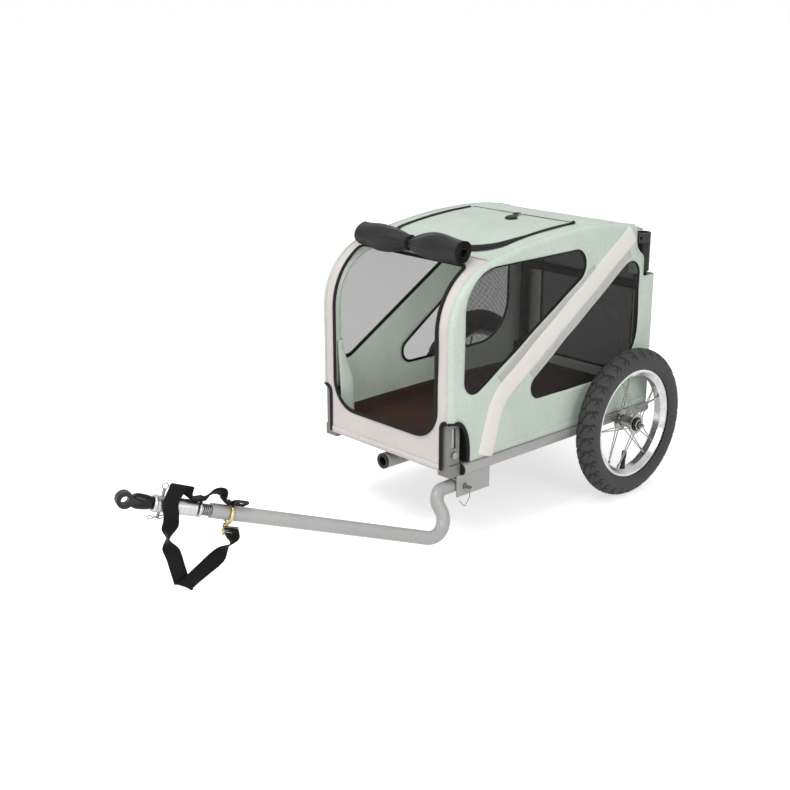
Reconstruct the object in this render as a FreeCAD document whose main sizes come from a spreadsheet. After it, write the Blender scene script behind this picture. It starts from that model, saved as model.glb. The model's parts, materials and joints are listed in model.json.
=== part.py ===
import FreeCAD, Part
import Sketcher
import math
import os

# Dog bike trailer: a fabric cabin on a two-wheeled tubular chassis, with a bent tow arm on the left.
# Millimetres, +Z up, ground at z = 0, +X is the trailer's left, the hitch points to -Y.
# Lengths along Y are measured from the cabin's front plane, which lies at cabin_front.

SIZES = {
    "cabin_front": -12.4,
    "cabin_length": 583.0,
    "cabin_half_width": 176.0,
    "fabric": 3.0,
    "mesh": 1.0,
    "crest_height": 549.0,
    "crest_place": 370.0,
    "roof_front_radius": 1220.0,
    "roof_rear_radius": 667.0,
    "corner_radius": 125.0,
    "front_hem_height": 147.0,
    "side_hem_height": 160.0,
    "front_foot_half_width": 151.0,
    "corner_slit_height": 240.0,
    "corner_slit_depth": 45.0,
    "front_strip_depth": 105.0,
    "opening_half_width": 138.0,
    "opening_sill": 203.0,
    "opening_depth": 72.0,
    "opening_round": 55.0,
    "hatch_half_width": 134.0,
    "hatch_front": 122.0,
    "hatch_round": 60.0,
    "hatch_gap": 0.4,
    "socket_notch_width": 38.0,
    "socket_notch_depth": 42.0,
    "socket_notch_drop": 121.0,
    "ear_notch_depth": 60.0,
    "ear_notch_drop": 64.0,
    "roll_radius": 20.5,
    "roll_half_length": 129.0,
    "roll_waist_radius": 11.0,
    "roll_waist_half_length": 16.0,
    "roll_shoulder": 70.0,
    "roll_bore_radius": 11.0,
    "roll_bore_depth": 28.0,
    "roll_place": 70.0,
    "band_width": 40.0,
    "band_thickness": 2.0,
    "rail_diameter": 22.0,
    "tube_wall": 1.5,
    "rail_offset": 171.0,
    "rail_height": 148.0,
    "rail_front": 33.0,
    "rail_rear_inset": 7.0,
    "plug_length": 14.0,
    "plug_head": 2.0,
    "cross_diameter": 20.0,
    "front_cross_place": 43.0,
    "rear_cross_inset": 47.0,
    "axle_inset": 119.0,
    "axle_tube_diameter": 16.0,
    "axle_tube_reach": 189.0,
    "mat_thickness": 10.0,
    "mat_half_width": 137.0,
    "mat_front": 8.0,
    "mat_rear_inset": 11.0,
    "bolt_diameter": 8.0,
    "bolt_head_diameter": 13.0,
    "bolt_head": 4.0,
    "running_fit": 0.05,
    "body_gap": 0.4,
    "seat_gap": 0.3,
    "overrun": 5.0,
    "plate": 3.0,
    "front_hoop_diameter": 20.0,
    "front_leg_offset": 154.0,
    "front_leg_place": 17.0,
    "front_pivot_height": 178.0,
    "front_bracket_height": 235.0,
    "front_bracket_depth": 31.0,
    "front_foot_rear": 56.0,
    "slot_width": 11.0,
    "slot_bottom": 190.0,
    "slot_top": 228.0,
    "hoop_bend_radius": 40.0,
    "hoop_top_place": 140.0,
    "upright_diameter": 22.0,
    "upright_offset": 154.0,
    "upright_inset": 20.0,
    "rear_pivot_height": 200.0,
    "rear_bracket_height": 226.0,
    "rear_bracket_depth": 15.0,
    "handle_depth": 41.0,
    "rear_bar_drop": 32.0,
    "socket_diameter": 29.0,
    "socket_length": 77.0,
    "socket_drop": 38.0,
    "handle_bore": 23.0,
    "ear_reach": 27.0,
    "ear_radius": 10.0,
    "ear_hole": 8.0,
    "ear_thickness": 4.0,
    "ear_drop": 8.0,
    "stem_diameter": 30.0,
    "stem_length": 88.0,
    "stem_height": 126.0,
    "stem_plug_wall": 3.0,
    "stem_plug_head": 3.0,
    "stem_plug_depth": 26.0,
    "stem_pin_hole": 7.0,
    "tyre_diameter": 300.0,
    "tyre_section": 47.0,
    "tyre_wall": 4.0,
    "rim_diameter": 218.0,
    "rim_width": 30.0,
    "rim_depth": 13.0,
    "rim_wall": 2.5,
    "rim_well_width": 14.0,
    "wheel_offset": 216.0,
    "hub_flange_diameter": 42.0,
    "hub_flange": 3.0,
    "hub_barrel_diameter": 24.0,
    "hub_half_length": 20.0,
    "hub_boss": 3.0,
    "spoke_diameter": 2.0,
    "spoke_count": 20.0,
    "spoke_inset": 4.0,
    "axle_diameter": 12.0,
    "axle_inner": 130.0,
    "axle_end_gap": 8.0,
    "axle_collar_diameter": 17.0,
    "button_diameter": 7.0,
    "button_length": 14.0,
    "button_travel": 4.0,
    "button_proud": 6.0,
    "arm_diameter": 25.0,
    "arm_wall": 2.0,
    "arm_offset": 153.0,
    "arm_height": 113.0,
    "arm_pivot_place": 92.0,
    "arm_pin_place": 44.0,
    "arm_fore": 24.0,
    "arm_out": 52.0,
    "arm_drop": 84.0,
    "arm_back": 17.0,
    "arm_upper_bend": 24.0,
    "arm_lower_bend": 36.0,
    "eye_offset": 30.0,
    "eye_fore": 574.0,
    "eye_height": 217.0,
    "channel_room": 14.5,
    "channel_front": 24.0,
    "channel_rear": 109.0,
    "pin_diameter": 7.0,
    "pin_collar_diameter": 12.0,
    "pin_collar": 5.0,
    "pin_tail": 14.0,
    "bail_wire": 2.0,
    "bail_length": 30.0,
    "bail_width": 26.0,
    "spring_diameter": 20.0,
    "spring_wire": 2.6,
    "spring_turns": 7.0,
    "spring_length": 26.0,
    "spring_start": 144.0,
    "core_diameter": 10.0,
    "sleeve_diameter": 27.0,
    "sleeve_length": 72.0,
    "sleeve_wall": 2.5,
    "stub_length": 9.0,
    "eye_diameter": 28.0,
    "eye_bore": 13.5,
    "eye_thickness": 14.0,
    "shank_diameter": 16.0,
    "shank_depth": 24.0,
    "hitch_pin_diameter": 5.0,
    "hitch_pin_place": 60.0,
    "hitch_pin_over": 12.0,
    "hitch_pin_under": 9.0,
    "pin_ring_radius": 5.0,
    "pin_ring_wire": 1.6,
    "strap_width": 26.0,
    "strap_thickness": 2.0,
    "strap_place": 82.0,
    "tail_width": 20.0,
    "hook_place": 177.0,
    "hook_wire": 4.4,
    "hook_room": 1.2,
    "hook_stem": 22.0,
    "slider_length": 16.0,
    "slider_width": 30.0,
    "slider_thickness": 3.0,
    "buckle_place": 193.0,
    "buckle_length": 17.0,
    "buckle_width": 22.0,
    "buckle_thickness": 8.0,
}

# Outline corners of one side panel as shares of the cabin's length and crest height, then the rounding
# as a share of the corner radius.
FRONT_WINDOW_SHARES = [
    (0.055, 0.501, 0.21),
    (0.055, 0.929, 0.64),
    (0.799, 0.942, 0.244),
]
REAR_WINDOW_SHARES = [
    (0.269, 0.437, 0.19),
    (0.921, 0.437, 0.72),
    (0.921, 0.903, 0.16),
]
BAND_SHARES = [(0.177, 0.296, 0.0), (0.180, 0.472, 0.56), (0.890, 0.961, 0.0)]

# Route of the hanging strap in the upright plane beside the tow arm: distance behind the eye as shares of
# the hook's place, and height as shares of the eye's height. The tail strap lies over the spring and the
# arm: the same distance, and height over the arm's line as shares of the sleeve's diameter.
STRAP_SHARES = [
    (0.407, 0.885),
    (0.384, 0.691),
    (0.395, 0.498),
    (0.418, 0.359),
    (0.508, 0.276),
    (0.655, 0.341),
    (0.802, 0.424),
    (0.921, 0.512),
    (0.938, 0.608),
]
TAIL_SHARES = [(0.542, 0.593), (0.633, 0.667), (0.712, 1.07), (0.797, 1.22), (0.864, 0.81), (0.949, 0.72)]
CORD_BEND_SHARE = 0.45
HALF_SHARE = 0.5
MAT_EDGE_SHARE = 0.4
PIN_HOLE_SHARE = 1.5

# Places and heights that follow from the sizes above.
PLACES = {
    "rail_rear": "(Sizes.cabin_length - Sizes.rail_rear_inset)",
    "rear_cross_place": "(Sizes.cabin_length - Sizes.rear_cross_inset)",
    "axle_place": "(Sizes.cabin_length - Sizes.axle_inset)",
    "mat_rear": "(Sizes.cabin_length - Sizes.mat_rear_inset)",
    "upright_place": "(Sizes.cabin_length - Sizes.upright_inset)",
    "rear_bracket_front": "(Sizes.cabin_length - Sizes.upright_inset - Sizes.rear_bracket_depth)",
    "socket_top": "(Sizes.crest_height - Sizes.socket_drop)",
    "upright_top": "(Sizes.crest_height - Sizes.socket_drop - Sizes.handle_depth)",
    "socket_bottom": "(Sizes.crest_height - Sizes.socket_drop - Sizes.socket_length)",
    "rear_bar_height": "(Sizes.crest_height - Sizes.socket_drop - Sizes.socket_length - Sizes.rear_bar_drop)",
}

doc = FreeCAD.newDocument("DogBikeTrailer")
sheet = doc.addObject("Spreadsheet::Sheet", "Sizes")
for row, (alias, value) in enumerate(SIZES.items(), start=1):
    sheet.set(f"A{row}", alias)
    sheet.set(f"B{row}", str(value))
    sheet.setAlias(f"B{row}", alias)
doc.recompute()


def size(alias):
    """A driving dimension read from the sheet, or a place worked out from such dimensions."""
    if alias in PLACES:
        return float(sheet.evalExpression(PLACES[alias]))
    return float(sheet.get(alias))


def named(alias):
    """The expression that stands for a size or a place."""
    return PLACES.get(alias, f"Sizes.{alias}")


def vec(x, y, z):
    """A point whose y is measured from the cabin's front plane."""
    return FreeCAD.Vector(x, size("cabin_front") + y, z)


X_AXIS = FreeCAD.Vector(1, 0, 0)
Y_AXIS = FreeCAD.Vector(0, 1, 0)
Z_AXIS = FreeCAD.Vector(0, 0, 1)
ORIGIN = FreeCAD.Vector(0, 0, 0)
TO_X = FreeCAD.Rotation(Y_AXIS, 90)
TO_MINUS_X = FreeCAD.Rotation(Y_AXIS, -90)
SIDES = {"left": 1, "right": -1}
SUB_PARTS = []


def keep(item, label):
    """Names a sub-part and lists it for writing."""
    item.Label = label
    SUB_PARTS.append(item)
    return item


def feature(label, shape):
    """A sub-part whose shape is worked out here from the sheet's sizes."""
    item = doc.addObject("Part::Feature", label)
    item.Shape = shape
    item.Placement = FreeCAD.Placement()
    return keep(item, label)


def bind(item, **expressions):
    """Binds properties to expressions on the sheet; x, y and z stand for the placement."""
    places = {"x": "Placement.Base.x", "y": "Placement.Base.y", "z": "Placement.Base.z"}
    for name, expression in expressions.items():
        item.setExpression(places.get(name, name), expression)
    return item


def mirrored(shape):
    """The same shape on the other side of the mid-plane."""
    return shape.mirror(ORIGIN, X_AXIS)


def on_side(shape, side):
    """A shape made for the left, placed on the side asked for."""
    return shape if side > 0 else mirrored(shape)


def rounded_wire(points, radii, closed=False):
    """A wire of straight runs through points, each inner corner replaced by a tangent arc."""
    count = len(points)
    edges = []
    last = None
    first = None
    for i in range(count):
        corner = points[i]
        if not closed and i in (0, count - 1):
            start = finish = corner
        elif radii[i] <= 0:
            start = finish = corner
        else:
            before = (points[i - 1] - corner).normalize()
            after = (points[(i + 1) % count] - corner).normalize()
            half_turn = (math.pi - before.getAngle(after)) / 2
            tangent = radii[i] * math.tan(half_turn)
            start = corner + before * tangent
            finish = corner + after * tangent
            weight = math.cos(half_turn)
            middle = (start + corner * (2 * weight) + finish) * (1 / (2 + 2 * weight))
        if last is not None and last.distanceToPoint(start) > 1e-6:
            edges.append(Part.makeLine(last, start))
        if start.distanceToPoint(finish) > 1e-6:
            edges.append(Part.Arc(start, middle, finish).toShape())
        first = start if first is None else first
        last = finish
    if closed and last.distanceToPoint(first) > 1e-6:
        edges.append(Part.makeLine(last, first))
    return Part.Wire(edges)


def rod(path, radius):
    """A round bar along a wire."""
    edge = path.OrderedEdges[0]
    start = edge.valueAt(edge.FirstParameter)
    heading = edge.tangentAt(edge.FirstParameter)
    ends = path.OrderedVertexes[0].Point
    if start.distanceToPoint(ends) > 1e-6:
        start, heading = edge.valueAt(edge.LastParameter), edge.tangentAt(edge.LastParameter) * -1
    ring = Part.Wire(Part.makeCircle(radius, start, heading))
    return path.makePipeShell([ring], True, False)


def cylinder(radius, start, finish):
    """A round bar from one point to another."""
    run = finish - start
    return Part.makeCylinder(radius, run.Length, start, run)


def cross_pin(radius, reach, place, height):
    """A bar along X through both sides, used for bores."""
    return cylinder(radius, vec(-reach, place, height), vec(reach, place, height))


def box(x_from, x_to, y_from, y_to, z_from, z_to):
    """A box between two corners, y measured from the cabin's front plane."""
    return Part.makeBox(x_to - x_from, y_to - y_from, z_to - z_from, vec(x_from, y_from, z_from))


def flat_solid(wire, thickness, direction):
    """A plate made by pushing a flat closed wire along a direction."""
    return Part.Face(wire).extrude(direction * thickness)


def origin_plane(body, role):
    """One of a body's own base planes."""
    return [item for item in body.Origin.OriginFeatures if item.Role == role][0]


def outline(body, name, role, points):
    """A closed sketch of straight runs whose corners are bound to expressions on the sheet."""
    sketch = body.newObject("Sketcher::SketchObject", name)
    sketch.AttachmentSupport = [(origin_plane(body, role), "")]
    sketch.MapMode = "FlatFace"
    spots = [tuple(float(sheet.evalExpression(text)) for text in point) for point in points]
    count = len(spots)
    for i in range(count):
        here = FreeCAD.Vector(*spots[i], 0)
        there = FreeCAD.Vector(*spots[(i + 1) % count], 0)
        sketch.addGeometry(Part.LineSegment(here, there), False)
    for i in range(count):
        sketch.addConstraint(Sketcher.Constraint("Coincident", i, 2, (i + 1) % count, 1))
    for i in range(count):
        for kind, axis, value, text in zip(("DistanceX", "DistanceY"), (-2, -1), spots[i], points[i]):
            if abs(value) < 1e-9:
                sketch.addConstraint(Sketcher.Constraint("PointOnObject", i, 1, axis))
            else:
                number = sketch.addConstraint(Sketcher.Constraint(kind, -1, 1, i, 1, value))
                sketch.setExpression(f"Constraints[{number}]", text)
    return sketch


def turned(label, points):
    """A turned piece: points give radius and distance along the axis, which is Z."""
    body = doc.addObject("PartDesign::Body", label)
    sketch = outline(body, label + "_profile", "XZ_Plane", points)
    revolution = body.newObject("PartDesign::Revolution", label + "_turned")
    revolution.Profile = sketch
    revolution.ReferenceAxis = (sketch, ["V_Axis"])
    revolution.Angle = 360
    return keep(body, label)


def drum(label, radius, length):
    """A plain cylinder along Z with bound radius and length."""
    item = doc.addObject("Part::Cylinder", label)
    return bind(item, Radius=radius, Height=length)


def cut(label, base, tool):
    """One object cut from another."""
    item = doc.addObject("Part::Cut", label)
    item.Base = base
    item.Tool = tool
    return item


# The cabin's side outline: an upright front, a large front corner, and a roof of two arcs that meet at
# its crest. Every inset copy keeps the same centres.
ROOF_FRONT_CENTRE = (size("crest_place"), size("crest_height") - size("roof_front_radius"))
ROOF_REAR_CENTRE = (size("crest_place"), size("crest_height") - size("roof_rear_radius"))
CORNER_LEVEL = ROOF_FRONT_CENTRE[1] + math.sqrt(
    (size("roof_front_radius") - size("corner_radius")) ** 2
    - (size("crest_place") - size("corner_radius")) ** 2
)
CORNER_LEAN = math.atan2(
    CORNER_LEVEL - ROOF_FRONT_CENTRE[1], size("corner_radius") - ROOF_FRONT_CENTRE[0]
)


def roof_height(y, inset=0.0):
    """Height of the roof's outline above a place on the roof, inset from the outside."""
    name, centre = (
        ("roof_front_radius", ROOF_FRONT_CENTRE)
        if y < size("crest_place")
        else ("roof_rear_radius", ROOF_REAR_CENTRE)
    )
    return centre[1] + math.sqrt((size(name) - inset) ** 2 - (y - centre[0]) ** 2)


def corner_point(angle, inset):
    """A point on the front corner's arc, inset from the outside."""
    reach = size("corner_radius") - inset
    return (size("corner_radius") + reach * math.cos(angle), CORNER_LEVEL + reach * math.sin(angle))


def spot(x, place):
    """A point from its x and its place in the side outline."""
    return vec(x, place[0], place[1])


def front_edges(x, inset, bottom):
    """The outline from the front hem up to the start of the roof arc."""
    low = (inset, bottom)
    lift = (inset, CORNER_LEVEL)
    middle = corner_point((math.pi + CORNER_LEAN) / 2, inset)
    top = corner_point(CORNER_LEAN, inset)
    return [
        Part.makeLine(spot(x, low), spot(x, lift)),
        Part.Arc(spot(x, lift), spot(x, middle), spot(x, top)).toShape(),
    ]


def roof_edges(x, inset, y_from, y_to):
    """The roof's outline between two places."""
    edges = []
    stops = [y_from] + [size("crest_place")] * (y_from < size("crest_place") < y_to) + [y_to]
    for a, b in zip(stops, stops[1:]):
        trio = [(y, roof_height(y - 1e-9 * (y == b), inset)) for y in (a, (a + b) / 2, b)]
        edges.append(Part.Arc(*[spot(x, place) for place in trio]).toShape())
    return edges


def ends_of(edges):
    """First and last point of a chain of edges."""
    chain = Part.Wire(edges)
    return chain.OrderedVertexes[0].Point, chain.OrderedVertexes[-1].Point


def strip(outer, inner, half_width):
    """A curved wall across the cabin between two matching outlines drawn at x = -half_width."""
    outer_first, outer_last = ends_of(outer)
    inner_first, inner_last = ends_of(inner)
    caps = [Part.makeLine(outer_last, inner_last), Part.makeLine(inner_first, outer_first)]
    wire = Part.Wire(Part.__sortEdges__(outer + inner + caps))
    return Part.Face(wire).extrude(FreeCAD.Vector(2 * half_width, 0, 0))


CORNER_TOP = corner_point(CORNER_LEAN, 0)
INNER_TOP = corner_point(CORNER_LEAN, size("fabric"))
WALL_INSIDE = size("cabin_half_width") - size("fabric")
NOTCH_FROM = size("cabin_half_width") - size("socket_notch_width")


def corner_notch(depth, drop):
    """A cut at the left rear corner, from a drop below the crest to above it."""
    return box(
        NOTCH_FROM,
        size("cabin_half_width") + size("overrun"),
        size("cabin_length") - depth,
        size("cabin_length") + size("overrun"),
        size("crest_height") - drop,
        size("crest_height") + size("overrun"),
    )


def socket_notches():
    """The corner cuts that leave the handle sockets and their ears bare."""
    notch = corner_notch(size("socket_notch_depth"), size("socket_notch_drop"))
    notch = notch.fuse(corner_notch(size("ear_notch_depth"), size("ear_notch_drop")))
    return notch.fuse(mirrored(notch))


def front_panel():
    """White front: hem, two legs that curve into the roof, and the door opening with round lower corners."""
    x = -WALL_INSIDE
    depth = size("front_strip_depth")
    outer = front_edges(x, 0, size("front_hem_height")) + roof_edges(x, 0, CORNER_TOP[0], depth)
    inner = front_edges(x, size("fabric"), size("front_hem_height"))
    inner += roof_edges(x, size("fabric"), INNER_TOP[0], depth)
    wall = strip(outer, inner, WALL_INSIDE)
    half = size("opening_half_width")
    lift = size("crest_height") + size("overrun")
    low = size("opening_sill")
    fore = -size("overrun")
    corners = [vec(half, fore, lift), vec(half, fore, low), vec(-half, fore, low), vec(-half, fore, lift)]
    rounds = [0, size("opening_round"), size("opening_round"), 0]
    door = flat_solid(rounded_wire(corners, rounds, True), size("opening_depth") - fore, Y_AXIS)
    slit = box(
        size("front_foot_half_width"),
        size("cabin_half_width") + size("overrun"),
        fore,
        size("corner_slit_depth"),
        size("front_hem_height") - size("overrun"),
        size("corner_slit_height"),
    )
    feature("front_panel", wall.cut(door).cut(slit).cut(mirrored(slit)))


def hatch_outline(grow):
    """The roof hatch seen from above, grown by a gap."""
    half = size("hatch_half_width") + grow
    fore = size("hatch_front") - grow
    rear = size("crest_place") + grow
    z = size("opening_sill")
    corners = [vec(half, rear, z), vec(half, fore, z), vec(-half, fore, z), vec(-half, rear, z)]
    return rounded_wire(corners, [0, size("hatch_round"), size("hatch_round"), 0], True)


def roof():
    """Roof panel with its zipped hatch, which hinges on its rear seam at the crest."""
    x = -WALL_INSIDE
    first = size("front_strip_depth")
    last = size("cabin_length")
    wall = strip(
        roof_edges(x, 0, first, last), roof_edges(x, size("fabric"), first, last), WALL_INSIDE
    )
    lift = size("crest_height")
    feature("roof_panel", wall.cut(flat_solid(hatch_outline(size("hatch_gap")), lift, Z_AXIS))
            .cut(socket_notches()))
    feature("roof_hatch", wall.common(flat_solid(hatch_outline(0), lift, Z_AXIS)))


def rear_panel():
    """Rear panel between the hem and the roof."""
    last = size("cabin_length")
    top = roof_height(last, size("fabric"))
    wall = box(
        -WALL_INSIDE, WALL_INSIDE, last - size("fabric"), last, size("side_hem_height"), top
    )
    feature("rear_panel", wall.cut(socket_notches()))


def side_spots(shares, x):
    """Corner points and radii of a side outline from its shares."""
    points = [vec(x, y * size("cabin_length"), z * size("crest_height")) for y, z, _ in shares]
    return points, [share * size("corner_radius") for _, _, share in shares]


def ribbon(points, radii, width, thickness, normal):
    """A flat strip of even width whose face stands square to normal, along a route with rounded turns."""
    half = width / 2
    runs = [(b - a).normalize() for a, b in zip(points, points[1:])]
    sides = [normal.cross(run) for run in runs]
    shifts = [sides[0]]
    for a, b in zip(sides, sides[1:]):
        middle = (a + b).normalize()
        shifts.append(middle * (1 / middle.dot(a)))
    shifts.append(sides[-1])
    turns = [math.copysign(half, a.cross(b).dot(normal)) for a, b in zip(runs, runs[1:])]
    left = [point + shift * half for point, shift in zip(points, shifts)]
    right = [point - shift * half for point, shift in zip(points, shifts)]
    left_radii = [0] + [radius - turn for radius, turn in zip(radii, turns)] + [0]
    right_radii = [0] + [radius + turn for radius, turn in zip(radii, turns)] + [0]
    wire = rounded_wire(left + right[::-1], left_radii + right_radii[::-1], True)
    return flat_solid(wire, thickness, normal)


def side_panel(name, side):
    """Flat side wall with two mesh windows and the diagonal band sewn on its outside."""
    x = WALL_INSIDE
    low = size("side_hem_height")
    last = size("cabin_length")
    edges = front_edges(x, 0, low) + roof_edges(x, 0, CORNER_TOP[0], last)
    edges.append(Part.makeLine(spot(x, (last, roof_height(last))), spot(x, (last, low))))
    edges.append(Part.makeLine(spot(x, (last, low)), spot(x, (0, low))))
    wall = flat_solid(Part.Wire(Part.__sortEdges__(edges)), size("fabric"), X_AXIS)
    slit = box(
        x - size("overrun"),
        size("cabin_half_width") + size("overrun"),
        -size("overrun"),
        size("corner_slit_depth"),
        low - size("overrun"),
        size("corner_slit_height"),
    )
    whole = wall.cut(slit).cut(socket_notches())
    panel = whole
    mesh_x = x + (size("fabric") - size("mesh")) / 2
    meshes = []
    for shares in (FRONT_WINDOW_SHARES, REAR_WINDOW_SHARES):
        points, radii = side_spots(shares, x)
        hole = flat_solid(rounded_wire(points, radii, True), size("fabric"), X_AXIS)
        panel = panel.cut(hole)
        points, radii = side_spots(shares, mesh_x)
        meshes.append(flat_solid(rounded_wire(points, radii, True), size("mesh"), X_AXIS))
    feature(f"{name}_windows", on_side(Part.makeCompound(meshes), side))
    feature(f"{name}_side_panel", on_side(panel, side))
    cover = whole.copy()
    cover.translate(X_AXIS * size("fabric"))
    points, radii = side_spots(BAND_SHARES, size("cabin_half_width"))
    band = ribbon(points, radii[1:-1], size("band_width"), size("band_thickness"), X_AXIS).common(cover)
    feature(f"{name}_diagonal_band", on_side(band, side))


def door_roll():
    """The front door rolled up over its opening: a soft roll drawn in by its tie at the middle."""
    points = [
        ("Sizes.roll_bore_radius", "0"),
        ("Sizes.roll_radius", "0"),
        ("Sizes.roll_radius", "Sizes.roll_half_length - Sizes.roll_shoulder"),
        ("Sizes.roll_waist_radius", "Sizes.roll_half_length - Sizes.roll_waist_half_length / 2"),
        ("Sizes.roll_waist_radius", "Sizes.roll_half_length + Sizes.roll_waist_half_length / 2"),
        ("Sizes.roll_radius", "Sizes.roll_half_length + Sizes.roll_shoulder"),
        ("Sizes.roll_radius", "Sizes.roll_half_length * 2"),
        ("Sizes.roll_bore_radius", "Sizes.roll_half_length * 2"),
        ("Sizes.roll_bore_radius", "Sizes.roll_half_length * 2 - Sizes.roll_bore_depth"),
        ("0", "Sizes.roll_half_length * 2 - Sizes.roll_bore_depth"),
        ("0", "Sizes.roll_bore_depth"),
        ("Sizes.roll_bore_radius", "Sizes.roll_bore_depth"),
    ]
    roll = turned("front_door_roll", points)
    lean = math.acos((size("roll_place") - size("corner_radius"))
                     / (size("corner_radius") + size("roll_radius") + size("body_gap")))
    reach = size("corner_radius") + size("roll_radius") + size("body_gap")
    roll.Placement = FreeCAD.Placement(
        vec(-size("roll_half_length"), size("roll_place"), CORNER_LEVEL + reach * math.sin(lean)), TO_X
    )


def chassis():
    """Side rails with end plugs, cross tubes, the axle tube between the wheels, and the padded floor."""
    rail_radius = size("rail_diameter") / 2
    cross_radius = size("cross_diameter") / 2
    level = size("rail_height")
    axle_level = size("tyre_diameter") / 2
    axle_bore = cross_pin(
        size("axle_tube_diameter") / 2, size("axle_tube_reach"), size("axle_place"), axle_level
    )
    for name, side in SIDES.items():
        x = size("rail_offset") * side
        front, rear = vec(x, size("rail_front"), level), vec(x, size("rail_rear"), level)
        bar = cylinder(rail_radius, front, rear)
        feature(f"{name}_rail", bar.cut(cylinder(rail_radius - size("tube_wall"), front, rear)).cut(axle_bore))
        plug = turned(f"{name}_rail_plug", [
            ("0", "0"),
            ("Sizes.rail_diameter / 2 - Sizes.tube_wall", "0"),
            ("Sizes.rail_diameter / 2 - Sizes.tube_wall", "Sizes.plug_length"),
            ("Sizes.rail_diameter / 2", "Sizes.plug_length"),
            ("Sizes.rail_diameter / 2 - Sizes.tube_wall / 2", "Sizes.plug_length + Sizes.plug_head"),
            ("0", "Sizes.plug_length + Sizes.plug_head"),
        ])
        plug.Placement.Rotation = FreeCAD.Rotation(X_AXIS, 90)
        bind(plug, x=f"Sizes.rail_offset * {side}",
             y="Sizes.cabin_front + Sizes.rail_front + Sizes.plug_length", z="Sizes.rail_height")
    reach = size("front_leg_offset") - size("front_hoop_diameter") / 2 - size("body_gap") - size("plate")
    bar = cross_pin(cross_radius, reach, size("front_cross_place"), level)
    feature("front_cross_tube", bar.cut(
        cross_pin(cross_radius - size("tube_wall"), reach, size("front_cross_place"), level)))
    bar = cross_pin(cross_radius, size("rail_offset"), size("rear_cross_place"), level)
    bar = bar.cut(cross_pin(cross_radius - size("tube_wall"), size("rail_offset"),
                            size("rear_cross_place"), level))
    for side in SIDES.values():
        x = size("rail_offset") * side
        front, rear = vec(x, size("rail_front"), level), vec(x, size("rail_rear"), level)
        bar = bar.cut(cylinder(rail_radius, front, rear))
    feature("rear_cross_tube", bar)
    feature("axle_tube", axle_bore.cut(
        cross_pin(size("axle_diameter") / 2 + size("running_fit"), size("axle_tube_reach"),
                  size("axle_place"), axle_level)))
    top = level + cross_radius
    mat = box(-size("mat_half_width"), size("mat_half_width"), size("mat_front"), size("mat_rear"),
              top, top + size("mat_thickness"))
    rounds = [edge for edge in mat.Edges if abs(edge.tangentAt(edge.FirstParameter).z) > 0.5]
    mat = mat.makeFillet(size("rail_diameter"), rounds)
    middle = top + size("mat_thickness") / 2
    rims = [edge for edge in mat.Edges if min(v.Point.z for v in edge.Vertexes) > middle]
    feature("floor_mat", mat.makeFillet(size("mat_thickness") * MAT_EDGE_SHARE, rims))


def front_socket():
    """The short socket under the front cross tube that takes a jogging wheel, with its black bush."""
    radius = size("stem_diameter") / 2
    level = size("stem_height")
    front, rear = vec(0, 0, level), vec(0, size("stem_length"), level)
    tube = cylinder(radius, front, rear).cut(cylinder(radius - size("tube_wall") * 2, front, rear))
    tube = tube.cut(cross_pin(size("cross_diameter") / 2, size("stem_length"), size("front_cross_place"),
                              size("rail_height")))
    hole_place = size("stem_plug_depth") * PIN_HOLE_SHARE
    tube = tube.cut(cross_pin(size("stem_pin_hole") / 2, size("stem_diameter"), hole_place, level))
    feature("front_socket", tube)
    bush = turned("front_socket_bush", [
        ("Sizes.stem_diameter / 2 - Sizes.tube_wall * 2 - Sizes.stem_plug_wall", "0"),
        ("Sizes.stem_diameter / 2 - Sizes.tube_wall * 2", "0"),
        ("Sizes.stem_diameter / 2 - Sizes.tube_wall * 2", "Sizes.stem_plug_depth"),
        ("Sizes.stem_diameter / 2", "Sizes.stem_plug_depth"),
        ("Sizes.stem_diameter / 2", "Sizes.stem_plug_depth + Sizes.stem_plug_head"),
        ("Sizes.stem_diameter / 2 - Sizes.tube_wall * 2 - Sizes.stem_plug_wall",
         "Sizes.stem_plug_depth + Sizes.stem_plug_head"),
    ])
    bush.Placement.Rotation = FreeCAD.Rotation(X_AXIS, 90)
    bind(bush, y="Sizes.cabin_front + Sizes.stem_plug_depth", z="Sizes.stem_height")


def hinge_bolt(label, side, offset, radius, place, height):
    """A bolt through a bracket's two cheeks, with a head and a nut."""
    half = f"({radius} + Sizes.body_gap + Sizes.plate)"
    bolt = turned(label, [
        ("0", "0"),
        ("Sizes.bolt_head_diameter / 2", "0"),
        ("Sizes.bolt_head_diameter / 2", "Sizes.bolt_head"),
        ("Sizes.bolt_diameter / 2", "Sizes.bolt_head"),
        ("Sizes.bolt_diameter / 2", f"Sizes.bolt_head + {half} * 2"),
        ("Sizes.bolt_head_diameter / 2", f"Sizes.bolt_head + {half} * 2"),
        ("Sizes.bolt_head_diameter / 2", f"Sizes.bolt_head * 2 + {half} * 2"),
        ("0", f"Sizes.bolt_head * 2 + {half} * 2"),
    ])
    bolt.Placement.Rotation = TO_X
    bind(bolt, x=f"Sizes.{offset} * {side} - {half} - Sizes.bolt_head",
         y=f"Sizes.cabin_front + {named(place)}", z=named(height))


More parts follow.
